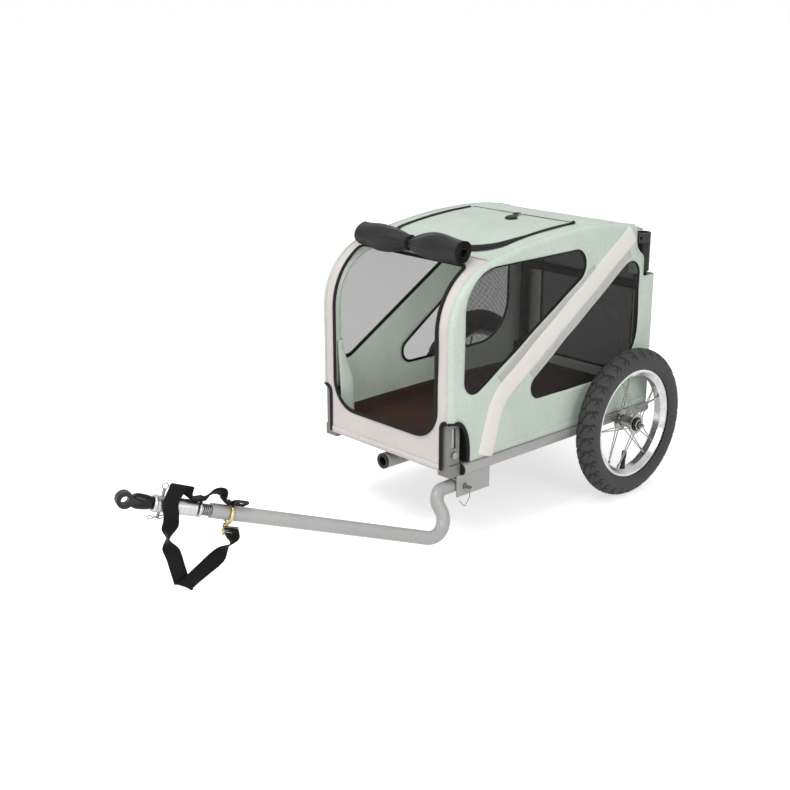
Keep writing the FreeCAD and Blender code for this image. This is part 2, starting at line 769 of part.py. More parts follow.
def brackets():
    """Corner brackets: channels that hold the feet of the front hoop and of the rear uprights."""
    plate = size("plate")
    rail_radius = size("rail_diameter") / 2
    level = size("rail_height")
    for name, side in SIDES.items():
        rail = cylinder(rail_radius, vec(size("rail_offset"), -size("overrun"), level),
                        vec(size("rail_offset"), size("cabin_length"), level))
        rail_behind = cylinder(rail_radius, vec(size("rail_offset"), size("rail_front") - plate, level),
                               vec(size("rail_offset"), size("cabin_length"), level))
        bore = size("bolt_diameter") / 2

        room = size("front_hoop_diameter") / 2 + size("body_gap")
        inner, outer = size("front_leg_offset") - room, size("front_leg_offset") + room
        fore = size("front_leg_place") - room - plate
        low, top = level - rail_radius, size("front_bracket_height")
        block = box(inner - plate, outer + plate, fore, size("front_bracket_depth"), low, top)
        foot = box(inner - plate, size("rail_offset"), fore, size("front_foot_rear"), low, level + rail_radius)
        well = box(inner, outer, fore + plate, size("front_foot_rear") + plate, level + rail_radius,
                   top + plate)
        slot = box(outer - plate, outer + 2 * plate, size("front_leg_place") - size("slot_width") / 2,
                   size("front_leg_place") + size("slot_width") / 2, size("slot_bottom"), size("slot_top"))
        shape = block.fuse(foot).removeSplitter().cut(well).cut(slot).cut(rail_behind)
        shape = shape.cut(cross_pin(bore, size("cabin_half_width"), size("front_leg_place"),
                                    size("front_pivot_height")))
        feature(f"front_{name}_bracket", on_side(shape, side))
        hinge_bolt(f"front_{name}_hinge_bolt", side, "front_leg_offset", "Sizes.front_hoop_diameter / 2",
                   "front_leg_place", "front_pivot_height")

        room = size("upright_diameter") / 2 + size("body_gap")
        inner, outer = size("upright_offset") - room, size("upright_offset") + room
        aft = size("upright_place") + room + plate
        block = box(inner - plate, outer + plate, size("rear_bracket_front"), aft, level,
                    size("rear_bracket_height"))
        well = box(inner, outer, size("rear_bracket_front") - plate, aft - plate,
                   size("rear_pivot_height") - room, size("rear_bracket_height") + plate)
        shape = block.cut(well).cut(rail)
        shape = shape.cut(cross_pin(bore, size("cabin_half_width"), size("upright_place"),
                                    size("rear_pivot_height")))
        feature(f"rear_{name}_bracket", on_side(shape, side))
        hinge_bolt(f"rear_{name}_hinge_bolt", side, "upright_offset", "Sizes.upright_diameter / 2",
                   "upright_place", "rear_pivot_height")


def front_hoop():
    """One bent tube: a foot on each side, legs that follow the front corner, and a bar under the roof."""
    radius = size("front_hoop_diameter") / 2
    x = size("front_leg_offset")
    inset = size("front_leg_place")
    slope = math.tan(CORNER_LEAN - math.pi / 2)
    arc_end = corner_point(CORNER_LEAN, inset)
    knee = arc_end[1] + slope * (inset - arc_end[0])
    top = arc_end[1] + slope * (size("hoop_top_place") - arc_end[0])
    half = [
        vec(x, inset, size("front_pivot_height")),
        vec(x, inset, knee),
        vec(x, size("hoop_top_place"), top),
    ]
    points = half + [FreeCAD.Vector(-p.x, p.y, p.z) for p in half[::-1]]
    bend = size("corner_radius") - inset
    radii = [0, bend, size("hoop_bend_radius"), size("hoop_bend_radius"), bend, 0]
    path = rounded_wire(points, radii)
    tube = rod(path, radius).cut(rod(path, radius - size("tube_wall")))
    for side in SIDES.values():
        tube = tube.fuse(Part.makeSphere(radius, vec(x * side, inset, size("front_pivot_height"))))
    tube = tube.removeSplitter().cut(cross_pin(
        size("bolt_diameter") / 2 + size("running_fit"), size("cabin_half_width"), inset,
        size("front_pivot_height")))
    feature("front_hoop", tube)


def rear_hoop():
    """Two uprights tied by a bar, each carrying a black handle socket with a drilled ear on its front."""
    radius = size("upright_diameter") / 2
    place = size("upright_place")
    low = size("rear_pivot_height")
    bar_radius = size("cross_diameter") / 2
    frame = cross_pin(bar_radius, size("upright_offset"), place, size("rear_bar_height"))
    for side in SIDES.values():
        x = size("upright_offset") * side
        frame = frame.fuse(cylinder(radius, vec(x, place, low), vec(x, place, size("upright_top"))))
    for side in SIDES.values():
        x = size("upright_offset") * side
        frame = frame.cut(cylinder(radius - size("tube_wall"), vec(x, place, low),
                                   vec(x, place, size("upright_top"))))
    frame = frame.cut(cross_pin(bar_radius - size("tube_wall"), size("upright_offset") - radius, place,
                                size("rear_bar_height")))
    for side in SIDES.values():
        frame = frame.fuse(Part.makeSphere(radius, vec(size("upright_offset") * side, place, low)))
    frame = frame.removeSplitter().cut(cross_pin(
        size("bolt_diameter") / 2 + size("running_fit"), size("cabin_half_width"), place, low))
    feature("rear_hoop", frame)
    for name, side in SIDES.items():
        x = size("upright_offset")
        outer = size("socket_diameter") / 2
        ear_level = size("socket_top") - size("ear_drop")
        bottom, top = vec(x, place, size("socket_bottom")), vec(x, place, size("socket_top"))
        barrel = cylinder(outer, bottom, top)
        ear_x = x + outer - size("ear_thickness")
        tip = vec(ear_x, place - size("ear_reach"), ear_level)
        ear = cylinder(size("ear_radius"), tip, tip + X_AXIS * size("ear_thickness"))
        web = box(ear_x, ear_x + size("ear_thickness"), place - size("ear_reach"), place,
                  ear_level - size("ear_radius"), ear_level + size("ear_drop"))
        root = box(ear_x - outer / 2, ear_x + size("ear_thickness"), place - outer, place,
                   ear_level - size("ear_radius"), ear_level + size("ear_drop"))
        shape = barrel.fuse(ear).fuse(web).fuse(root).removeSplitter()
        shape = shape.cut(cylinder(radius, bottom, top))
        shape = shape.cut(cylinder(size("handle_bore") / 2, vec(x, place, size("upright_top")), top))
        shape = shape.cut(cylinder(size("ear_hole") / 2, tip - X_AXIS * outer, tip + X_AXIS * outer))
        feature(f"{name}_handle_socket", on_side(shape, side))


def wheel(name, side):
    """A spoked wheel on its own stub axle: tyre, rim, spokes, hub shell, axle and its release button."""
    axle_y = f"Sizes.cabin_front + {named('axle_place')}"
    level = "Sizes.tyre_diameter / 2"
    turn = TO_X if side > 0 else TO_MINUS_X

    ring = doc.addObject("Part::Torus", f"{name}_tyre_outside")
    bind(ring, Radius1="(Sizes.tyre_diameter - Sizes.tyre_section) / 2", Radius2="Sizes.tyre_section / 2")
    air = doc.addObject("Part::Torus", f"{name}_tyre_air")
    bind(air, Radius1="(Sizes.tyre_diameter - Sizes.tyre_section) / 2",
         Radius2="Sizes.tyre_section / 2 - Sizes.tyre_wall")
    seat = drum(f"{name}_tyre_seat", "Sizes.rim_diameter / 2", "Sizes.tyre_section")
    bind(seat, z="0 - Sizes.tyre_section / 2")
    hollow = cut(f"{name}_tyre_hollow", ring, air)
    tyre = keep(cut(f"{name}_tyre", hollow, seat), f"{name}_tyre")

    rim = turned(f"{name}_rim", [
        ("Sizes.rim_diameter / 2 - Sizes.rim_wall * 2", "0"),
        ("Sizes.rim_diameter / 2", "0"),
        ("Sizes.rim_diameter / 2", "Sizes.rim_wall"),
        ("Sizes.rim_diameter / 2 - Sizes.rim_wall * 2", "Sizes.rim_wall"),
        ("Sizes.rim_diameter / 2 - Sizes.rim_depth + Sizes.rim_wall",
         "(Sizes.rim_width - Sizes.rim_well_width) / 2 + Sizes.rim_wall"),
        ("Sizes.rim_diameter / 2 - Sizes.rim_depth + Sizes.rim_wall",
         "(Sizes.rim_width + Sizes.rim_well_width) / 2 - Sizes.rim_wall"),
        ("Sizes.rim_diameter / 2 - Sizes.rim_wall * 2", "Sizes.rim_width - Sizes.rim_wall"),
        ("Sizes.rim_diameter / 2", "Sizes.rim_width - Sizes.rim_wall"),
        ("Sizes.rim_diameter / 2", "Sizes.rim_width"),
        ("Sizes.rim_diameter / 2 - Sizes.rim_wall * 2", "Sizes.rim_width"),
        ("Sizes.rim_diameter / 2 - Sizes.rim_depth", "(Sizes.rim_width + Sizes.rim_well_width) / 2"),
        ("Sizes.rim_diameter / 2 - Sizes.rim_depth", "(Sizes.rim_width - Sizes.rim_well_width) / 2"),
    ])
    hub = turned(f"{name}_hub", [
        ("Sizes.axle_diameter / 2 + Sizes.running_fit", "0"),
        ("Sizes.axle_collar_diameter / 2", "0"),
        ("Sizes.axle_collar_diameter / 2", "Sizes.hub_boss"),
        ("Sizes.hub_flange_diameter / 2", "Sizes.hub_boss"),
        ("Sizes.hub_flange_diameter / 2", "Sizes.hub_boss + Sizes.hub_flange"),
        ("Sizes.hub_barrel_diameter / 2", "Sizes.hub_boss + Sizes.hub_flange * 2"),
        ("Sizes.hub_barrel_diameter / 2", "Sizes.hub_boss + Sizes.hub_half_length * 2 - Sizes.hub_flange * 2"),
        ("Sizes.hub_flange_diameter / 2", "Sizes.hub_boss + Sizes.hub_half_length * 2 - Sizes.hub_flange"),
        ("Sizes.hub_flange_diameter / 2", "Sizes.hub_boss + Sizes.hub_half_length * 2"),
        ("Sizes.axle_collar_diameter / 2", "Sizes.hub_boss + Sizes.hub_half_length * 2"),
        ("Sizes.axle_collar_diameter / 2", "Sizes.hub_boss * 2 + Sizes.hub_half_length * 2"),
        ("Sizes.axle_diameter / 2 + Sizes.running_fit", "Sizes.hub_boss * 2 + Sizes.hub_half_length * 2"),
    ])
    for item, half in ((tyre, "0"), (rim, "Sizes.rim_width / 2"),
                       (hub, "(Sizes.hub_boss + Sizes.hub_half_length)")):
        item.Placement.Rotation = turn
        bind(item, x=f"(Sizes.wheel_offset - {half}) * {side}", y=axle_y, z=level)
    doc.recompute()

    centre = vec(size("wheel_offset") * side, size("axle_place"), size("tyre_diameter") / 2)
    count = int(round(size("spoke_count")))
    foot = size("hub_flange_diameter") / 2 - size("spoke_inset")
    crown = (size("rim_diameter") - size("rim_depth")) / 2
    flange = size("hub_half_length") - size("hub_flange") / 2
    spokes = []
    for i in range(count):
        lean = 2 * math.pi / count * (1 if i % 4 < 2 else -1)
        angle = 2 * math.pi * i / count
        reach = flange * (1 if i % 2 else -1)
        start = centre + FreeCAD.Vector(reach, foot * math.cos(angle), foot * math.sin(angle))
        finish = centre + FreeCAD.Vector(0, crown * math.cos(angle + lean), crown * math.sin(angle + lean))
        spokes.append(cylinder(size("spoke_diameter") / 2, start, finish).cut(rim.Shape).cut(hub.Shape))
    longest = [max(spoke.Solids, key=lambda solid: solid.Volume) for spoke in spokes]
    feature(f"{name}_spokes", Part.makeCompound(longest))

    axle_end = ("Sizes.wheel_offset + Sizes.hub_half_length + Sizes.hub_boss + Sizes.axle_end_gap"
                " - Sizes.axle_inner")
    collar = "Sizes.wheel_offset - Sizes.hub_half_length - Sizes.hub_boss - Sizes.body_gap - Sizes.axle_inner"
    axle = turned(f"{name}_axle", [
        ("0", "0"),
        ("Sizes.axle_diameter / 2", "0"),
        ("Sizes.axle_diameter / 2", "Sizes.axle_tube_reach - Sizes.axle_inner"),
        ("Sizes.axle_collar_diameter / 2", "Sizes.axle_tube_reach - Sizes.axle_inner"),
        ("Sizes.axle_collar_diameter / 2", collar),
        ("Sizes.axle_diameter / 2", collar),
        ("Sizes.axle_diameter / 2", axle_end),
        ("Sizes.button_diameter / 2 + Sizes.running_fit", axle_end),
        ("Sizes.button_diameter / 2 + Sizes.running_fit",
         f"{axle_end} - Sizes.button_length + Sizes.button_proud - Sizes.button_travel * 2"),
        ("0", f"{axle_end} - Sizes.button_length + Sizes.button_proud - Sizes.button_travel * 2"),
    ])
    button = drum(f"{name}_release_button", "Sizes.button_diameter / 2", "Sizes.button_length")
    keep(button, f"{name}_release_button")
    button_start = f"(Sizes.axle_inner + {axle_end} + Sizes.button_proud - Sizes.button_length)"
    for item, start in ((axle, "Sizes.axle_inner"), (button, button_start)):
        item.Placement.Rotation = turn
        bind(item, x=f"{start} * {side}", y=axle_y, z=level)


ARM_PIVOT = vec(size("arm_offset"), size("arm_pivot_place"), size("arm_height"))
ARM_UPPER = vec(size("arm_offset"), -size("arm_fore"), size("arm_height"))
ARM_LOWER = ARM_UPPER + FreeCAD.Vector(size("arm_out"), size("arm_back"), -size("arm_drop"))
EYE = vec(size("eye_offset"), -size("eye_fore"), size("eye_height"))
ALONG = (ARM_LOWER - EYE).normalize()
LEVEL = FreeCAD.Vector(ALONG.x, ALONG.y, 0).normalize()
ACROSS = FreeCAD.Vector(-LEVEL.y, LEVEL.x, 0)
OUTWARD = ACROSS if ACROSS.x > 0 else ACROSS * -1
OVER = OUTWARD.cross(ALONG) if OUTWARD.cross(ALONG).z > 0 else ALONG.cross(OUTWARD)


def on_arm(distance, over=0.0, out=0.0):
    """A point at a distance behind the eye along the arm's line, lifted and set outward square to it."""
    return EYE + ALONG * distance + OVER * over + OUTWARD * out


def tow_arm():
    """The bent tow arm, its channel under the left rail, the pivot bolt and the lock pin with its bail."""
    radius = size("arm_diameter") / 2
    path = rounded_wire(
        [ARM_PIVOT, ARM_UPPER, ARM_LOWER, on_arm(size("spring_start"))],
        [0, size("arm_upper_bend"), size("arm_lower_bend"), 0],
    )
    arm = rod(path, radius).cut(rod(path, radius - size("arm_wall")))
    arm = arm.fuse(Part.makeSphere(radius, ARM_PIVOT)).removeSplitter()
    arm = arm.cut(cylinder(size("bolt_diameter") / 2 + size("running_fit"), ARM_PIVOT - Z_AXIS * radius * 2,
                           ARM_PIVOT + Z_AXIS * radius * 2))
    stub = cylinder(radius - size("arm_wall"), on_arm(size("spring_start")),
                    on_arm(size("spring_start") + size("stub_length")))
    pin_spot = vec(size("arm_offset"), size("arm_pin_place"), size("arm_height"))
    pin_hole = size("pin_diameter") / 2 + size("body_gap") * PIN_HOLE_SHARE
    arm = arm.fuse(stub).cut(cylinder(pin_hole, pin_spot, pin_spot + X_AXIS * radius * 2))
    feature("tow_arm", arm.removeSplitter())

    plate = size("plate")
    room = size("channel_room")
    x = size("arm_offset")
    z = size("arm_height")
    roof_z, floor_z = z + room, z - room
    cheek_x = x + room
    front, rear = size("channel_front"), size("channel_rear")
    rail_bottom = size("rail_height") - size("rail_diameter") / 2
    cheek = box(cheek_x, cheek_x + plate, front, rear, floor_z - plate, rail_bottom)
    top = box(x - room, cheek_x, front, rear, roof_z, roof_z + plate)
    bottom = box(x - room, cheek_x, size("arm_pin_place") + room, rear, floor_z - plate, floor_z)
    channel = cheek.fuse(top).fuse(bottom).removeSplitter()
    drop = Z_AXIS * room * 2
    channel = channel.cut(cylinder(size("bolt_diameter") / 2, ARM_PIVOT - drop, ARM_PIVOT + drop))
    pin_bore = size("pin_diameter") / 2 + size("running_fit")
    channel = channel.cut(cylinder(pin_bore, pin_spot, pin_spot + X_AXIS * room * 2))
    feature("arm_channel", channel)

    half = "(Sizes.channel_room + Sizes.plate)"
    bolt = turned("arm_pivot_bolt", [
        ("0", "0"),
        ("Sizes.bolt_head_diameter / 2", "0"),
        ("Sizes.bolt_head_diameter / 2", "Sizes.bolt_head"),
        ("Sizes.bolt_diameter / 2", "Sizes.bolt_head"),
        ("Sizes.bolt_diameter / 2", f"Sizes.bolt_head + {half} * 2"),
        ("Sizes.bolt_head_diameter / 2", f"Sizes.bolt_head + {half} * 2"),
        ("Sizes.bolt_head_diameter / 2", f"Sizes.bolt_head * 2 + {half} * 2"),
        ("0", f"Sizes.bolt_head * 2 + {half} * 2"),
    ])
    bind(bolt, x="Sizes.arm_offset", y="Sizes.cabin_front + Sizes.arm_pivot_place",
         z=f"Sizes.arm_height - {half} - Sizes.bolt_head")

    inner_end = "Sizes.arm_diameter / 2 - Sizes.arm_wall"
    collar = f"Sizes.channel_room + Sizes.plate + Sizes.body_gap - ({inner_end})"
    pin = turned("arm_lock_pin", [
        ("0", "0"),
        ("Sizes.pin_diameter / 2", "0"),
        ("Sizes.pin_diameter / 2", collar),
        ("Sizes.pin_collar_diameter / 2", collar),
        ("Sizes.pin_collar_diameter / 2", f"{collar} + Sizes.pin_collar"),
        ("Sizes.pin_diameter / 2", f"{collar} + Sizes.pin_collar"),
        ("Sizes.pin_diameter / 2", f"{collar} + Sizes.pin_collar + Sizes.pin_tail"),
        ("0", f"{collar} + Sizes.pin_collar + Sizes.pin_tail"),
    ])
    pin.Placement.Rotation = TO_X
    bind(pin, x=f"Sizes.arm_offset + {inner_end}", y="Sizes.cabin_front + Sizes.arm_pin_place",
         z="Sizes.arm_height")
    wire_x = cheek_x + plate + size("body_gap") + size("pin_collar") + size("pin_tail") / 2
    hang = pin_spot + FreeCAD.Vector(wire_x - x, 0, -size("pin_diameter") / 2)
    swing = size("bail_width") / 2
    loop = [
        hang,
        hang + FreeCAD.Vector(0, 0, -size("bail_length") / 2),
        hang + FreeCAD.Vector(0, -swing, -size("bail_length")),
        hang + FreeCAD.Vector(0, -size("bail_width"), -size("bail_length") / 2),
    ]
    bend = size("bail_wire") * 2
    feature("lock_pin_bail", rod(rounded_wire(loop, [0, bend, bend, 0]), size("bail_wire") / 2))


def biarc(start, start_heading, finish, finish_heading):
    """Two arcs that join two points with given headings."""
    gap = finish - start
    both = start_heading + finish_heading
    spread = 2 * (1 - start_heading.dot(finish_heading))
    reach = (-gap.dot(both) + math.sqrt(gap.dot(both) ** 2 + spread * gap.dot(gap))) / spread
    first = start + start_heading * reach
    second = finish - finish_heading * reach
    joint = (first + second) * HALF_SHARE
    arcs = []
    for a, control, b in ((start, first, joint), (joint, second, finish)):
        weight = math.cos((control - a).getAngle(b - control) / 2)
        middle = (a + control * (2 * weight) + b) * (1 / (2 + 2 * weight))
        arcs.append(Part.Arc(a, middle, b).toShape())
    return arcs


def hitch_spring():
    """The coil spring between the arm and the coupler, one unbroken wire of quarter-turn biarcs."""
    coil = (size("spring_diameter") - size("spring_wire")) / 2
    wire = size("spring_wire") / 2
    clear = size("seat_gap")
    first = size("spring_start") - clear - wire
    last = size("spring_start") - size("spring_length") + clear + wire
    quarters = int(round(size("spring_turns") * 4))
    rise = (last - first) / quarters

    def place(i):
        angle = math.pi / 2 * i
        return on_arm(first + rise * i, coil * math.cos(angle), coil * math.sin(angle))

    def heading(i):
        angle = math.pi / 2 * i
        turn = OVER * -math.sin(angle) + OUTWARD * math.cos(angle)
        return (turn * (coil * math.pi / 2) + ALONG * rise).normalize()

    edges = []
    for i in range(quarters):
        edges += biarc(place(i), heading(i), place(i + 1), heading(i + 1))
    gap = abs(rise) * 4 - size("spring_wire")
    print(f"hitch spring: least gap between turns {gap:.2f} mm")
    feature("hitch_spring", rod(Part.Wire(edges), wire))


def hitch():
    """The hitch: spring with its core, aluminium sleeve, black eye, and the hitch pin with its ring."""
    hitch_spring()
    start = size("spring_start")
    middle = start - size("spring_length") / 2
    ball = size("core_diameter") / 2
    reach = size("spring_length") / 2 - size("seat_gap") - ball
    core = cylinder(ball, on_arm(middle - reach), on_arm(middle + reach))
    core = core.fuse(Part.makeSphere(ball, on_arm(middle - reach)))
    core = core.fuse(Part.makeSphere(ball, on_arm(middle + reach)))
    feature("hitch_core", core.removeSplitter())

    rear = start - size("spring_length")
    front = rear - size("sleeve_length")
    radius = size("sleeve_diameter") / 2
    bore = radius - size("sleeve_wall")
    pin_spot = size("hitch_pin_place")
    pin = size("hitch_pin_diameter") / 2 + size("running_fit")
    drill = cylinder(pin, on_arm(pin_spot, -2 * radius), on_arm(pin_spot, 2 * radius))
    sleeve = cylinder(radius, on_arm(rear), on_arm(front))
    sleeve = sleeve.cut(cylinder(bore, on_arm(rear - size("stub_length")), on_arm(front)))
    feature("coupler_sleeve", sleeve.cut(drill))

    shank_end = front + size("shank_depth")
    eye_half = size("eye_thickness") / 2
    ring = cylinder(size("eye_diameter") / 2, on_arm(0, 0, -eye_half), on_arm(0, 0, eye_half))
    neck = cylinder(size("shank_diameter") / 2, on_arm(front), on_arm(size("eye_bore") / 2))
    shank = cylinder(bore, on_arm(shank_end), on_arm(front))
    eye = ring.fuse(neck).fuse(shank).removeSplitter()
    eye = eye.cut(cylinder(size("eye_bore") / 2, on_arm(0, 0, -2 * eye_half), on_arm(0, 0, 2 * eye_half)))
    feature("hitch_eye", eye.cut(drill))

    bar = cylinder(size("hitch_pin_diameter") / 2, on_arm(pin_spot, -radius - size("hitch_pin_under")),
                   on_arm(pin_spot, radius + size("hitch_pin_over")))
    ring_wire = size("pin_ring_wire") / 2
    reach = radius + size("hitch_pin_over") + size("pin_ring_radius")
    ring = Part.makeTorus(size("pin_ring_radius"), ring_wire, on_arm(pin_spot, reach), OUTWARD)
    feature("hitch_pin", bar.fuse(ring).removeSplitter())


def bend_radii(points):
    """Largest fair bend at each inner corner of a cord's route."""
    radii = []
    for before, corner, after in zip(points, points[1:], points[2:]):
        shorter = min((corner - before).Length, (after - corner).Length)
        half_turn = (corner - before).getAngle(after - corner) / 2
        radii.append(CORD_BEND_SHARE * shorter / math.tan(half_turn))
    return radii


def safety_strap():
    """The safety strap: a loop of webbing round the coupler, its hanging run, slider, brass hook and tail."""
    width = size("strap_width")
    thickness = size("strap_thickness")
    gap = size("body_gap")
    radius = size("sleeve_diameter") / 2 + gap
    place = size("strap_place")
    loop = cylinder(radius + thickness, on_arm(place - width / 2), on_arm(place + width / 2))
    loop = loop.cut(cylinder(radius, on_arm(place - width), on_arm(place + width)))
    route = [
        EYE + LEVEL * (a * size("hook_place")) + OUTWARD * radius + Z_AXIS * (z * size("eye_height") - EYE.z)
        for a, z in STRAP_SHARES
    ]
    bends = bend_radii(route)
    print(f"safety strap: bends {[round(bend, 1) for bend in bends]} mm")
    hanging = ribbon(route, bends, width, thickness, OUTWARD)
    feature("safety_strap", loop.fuse(hanging).removeSplitter())

    edge = [on_arm(a * size("hook_place"), over * size("sleeve_diameter")) for a, over in TAIL_SHARES]
    bends = bend_radii(edge)
    print(f"strap tail: bends {[round(bend, 1) for bend in bends]} mm")
    path = rounded_wire(edge, [0] + bends + [0])
    heading = (edge[1] - edge[0]).normalize()
    half, rise = OUTWARD * (size("tail_width") / 2), OUTWARD.cross(heading) * (thickness / 2)
    corners = [edge[0] + half + rise, edge[0] + half - rise, edge[0] - half - rise, edge[0] - half + rise]
    profile = Part.makePolygon(corners + corners[:1])
    feature("strap_tail", path.makePipeShell([profile], True, False))

    hook_ring = size("arm_diameter") / 2 + size("hook_room") + size("hook_wire") / 2
    spot_on = size("hook_place")
    sag = size("hook_room") - size("running_fit")
    hook = Part.makeTorus(hook_ring, size("hook_wire") / 2, on_arm(spot_on, -sag), ALONG)
    low = hook_ring + sag
    stem = cylinder(size("hook_wire") / 2, on_arm(spot_on, -low), on_arm(spot_on, -low - size("hook_stem")))
    feature("snap_hook", hook.fuse(stem).removeSplitter())

    heading = (route[-1] - route[-2]).normalize()
    spot_at = route[-1] + OUTWARD * thickness - heading * (size("slider_length") / 2)
    side = OUTWARD.cross(heading) * (size("slider_width") / 2)
    reach = heading * (size("slider_length") / 2)
    corners = [spot_at + side + reach, spot_at - side + reach, spot_at - side - reach, spot_at + side - reach]
    slider = Part.makePolygon(corners + corners[:1])
    feature("strap_slider", flat_solid(slider, size("slider_thickness"), OUTWARD))

    seat = on_arm(size("buckle_place"), size("arm_diameter") / 2)
    reach, side = ALONG * (size("buckle_length") / 2), OUTWARD * (size("buckle_width") / 2)
    corners = [seat + reach + side, seat + reach - side, seat - reach - side, seat - reach + side]
    buckle = flat_solid(Part.makePolygon(corners + corners[:1]), size("buckle_thickness"), OVER)
    feature("strap_buckle", buckle)


chassis()
front_socket()
brackets()
front_hoop()
rear_hoop()
for name, side in SIDES.items():
    wheel(name, side)
    side_panel(name, side)
front_panel()
roof()
rear_panel()
door_roll()
tow_arm()
hitch()
safety_strap()
doc.recompute()

faults = [item.Label for item in doc.Objects if {"Invalid", "Error"} & set(item.State)]
faults += [item.Label for item in SUB_PARTS if item.Shape.isNull() or not item.Shape.isValid()]
if faults:
    raise RuntimeError(f"failed pieces: {sorted(set(faults))}")

os.makedirs("parts", exist_ok=True)
whole = FreeCAD.BoundBox()
for item in SUB_PARTS:
    item.Shape.exportStep(f"parts/{item.Label}.step")
    whole.add(item.Shape.BoundBox)
    solids = len(item.Shape.Solids)
    if solids != 1:
        print(f"{item.Label}: {solids} solids")
spans = [round(span) for span in (whole.XLength, whole.YLength, whole.ZLength)]
print(f"{len(SUB_PARTS)} pieces, {spans} mm over all")
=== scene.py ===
# %% [markdown]
# # A dog bike trailer
# The imported solids are the fixed frame of this scene. They are loaded first, and everything soft is then
# drawn over them as cloth, webbing and rubber.

# %% The frame
import json
import bmesh
import bpy
import numpy as np
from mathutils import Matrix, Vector
from mathutils.geometry import delaunay_2d_cdt


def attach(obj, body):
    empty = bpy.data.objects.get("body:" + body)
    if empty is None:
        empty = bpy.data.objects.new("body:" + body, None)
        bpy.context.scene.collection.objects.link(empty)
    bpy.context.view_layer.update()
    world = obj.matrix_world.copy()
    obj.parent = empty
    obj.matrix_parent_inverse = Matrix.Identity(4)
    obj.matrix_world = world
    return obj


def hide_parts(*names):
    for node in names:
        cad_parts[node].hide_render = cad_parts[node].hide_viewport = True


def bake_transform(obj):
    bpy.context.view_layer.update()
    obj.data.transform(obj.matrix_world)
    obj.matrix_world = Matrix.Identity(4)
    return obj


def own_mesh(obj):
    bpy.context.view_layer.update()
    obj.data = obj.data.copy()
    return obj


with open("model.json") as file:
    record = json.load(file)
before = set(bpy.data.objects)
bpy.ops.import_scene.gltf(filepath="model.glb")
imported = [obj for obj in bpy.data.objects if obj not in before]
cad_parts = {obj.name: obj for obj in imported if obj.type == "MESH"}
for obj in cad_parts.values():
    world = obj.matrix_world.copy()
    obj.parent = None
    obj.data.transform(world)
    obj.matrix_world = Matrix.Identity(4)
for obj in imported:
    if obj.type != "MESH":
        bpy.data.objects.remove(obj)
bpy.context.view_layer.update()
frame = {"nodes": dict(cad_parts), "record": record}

# %% [markdown]
# The trailer was measured in millimetres from the plane of the cabin's front, while the frame is in metres.
# One small function turns the first into the second for whole arrays at once.

# %% Measures
MM = 0.001
CABIN_FRONT = -12.4
HALF_WIDTH = 176.0
LENGTH = 583.0
EDGE_ROUND = 11.0
SEAM_X = HALF_WIDTH - EDGE_ROUND


def metres(x, y, z):
    """Millimetres, with y measured from the cabin's front plane, as points of the frame in metres."""
    return np.stack(np.broadcast_arrays(x, np.asarray(y) + CABIN_FRONT, z), axis=-1) * MM


def unit(vectors):
    """Vectors scaled to length one."""
    return vectors / np.linalg.norm(vectors, axis=-1, keepdims=True)


def smooth(t):
    """A soft step from 0 to 1: 3t^2 - 2t^3 of t held between 0 and 1."""
    t = np.clip(t, 0, 1)
    return t * t * (3 - 2 * t)


print(f"cabin {2 * HALF_WIDTH:.0f} mm wide and {LENGTH:.0f} mm long")

# %% [markdown]
# The camera stands where the photograph was taken from: left of the hitch, a little above the roof. Focal
# length and place were fitted to points of the trailer seen there, so no lens shift is needed.

# %% Camera
AZIMUTH, ELEVATION = np.radians([47.1, 17.66])
FOCAL_PIXELS, FRAME_PIXELS, SENSOR = 1285.4, 790, 36.0
STANDPOINT = (1677.1, -1529.3, 978.5)
back = np.array([
    np.sin(AZIMUTH) * np.cos(ELEVATION), -np.cos(AZIMUTH) * np.cos(ELEVATION), np.sin(ELEVATION)])
camera = bpy.data.objects.new("camera", bpy.data.cameras.new("camera"))
camera.data.sensor_width = SENSOR
camera.data.lens = FOCAL_PIXELS * SENSOR / FRAME_PIXELS
camera.rotation_euler = Vector(back).to_track_quat("Z", "Y").to_euler()
camera.location = metres(*STANDPOINT)
bpy.context.scene.collection.objects.link(camera)
bpy.context.scene.camera = camera
print(f"lens {camera.data.lens:.1f} mm")

# %% [markdown]
# Materials share a few effects: threads crossing in a weave, patchy colour, and fine scuffs. Each effect is
# a node group, so one change improves every finish that uses it. The weave follows the cloth's own flat
# coordinates, which are stored as a UV map in metres, because the pattern then bends with the sheet.

# %% Shared effects
def colour(red, green, blue):
    """An sRGB colour of 0 to 255 as linear light."""
    s = np.array([red, green, blue]) / 255
    return (*np.where(s <= 0.04045, s / 12.92, ((s + 0.055) / 1.055) ** 2.4).tolist(), 1.0)


def add(tree, kind, inputs=None, **settings):
    """A node with its settings; an input is a plain value or the socket that feeds it."""
    node = tree.nodes.new(kind)
    for name, value in settings.items():
        setattr(node, name, value)
    for name, value in (inputs or {}).items():
        if isinstance(value, bpy.types.NodeSocket):
            tree.links.new(value, node.inputs[name])
        else:
            node.inputs[name].default_value = value
    return node


def maths(tree, operation, *values):
    """A Math node on one to three values or sockets."""
    return add(tree, "ShaderNodeMath", dict(enumerate(values)), operation=operation).outputs[0]


def new_group(name, inputs, outputs):
    """An empty node group with named sockets."""
    group = bpy.data.node_groups.new(name, "ShaderNodeTree")
    for label, kind in inputs:
        group.interface.new_socket(label, in_out="INPUT", socket_type=kind)
    for label, kind in outputs:
        group.interface.new_socket(label, in_out="OUTPUT", socket_type=kind)
    return group, group.nodes.new("NodeGroupInput").outputs, group.nodes.new("NodeGroupOutput").inputs


NUMBER, COLOUR, VECTOR = "NodeSocketFloat", "NodeSocketColor", "NodeSocketVector"


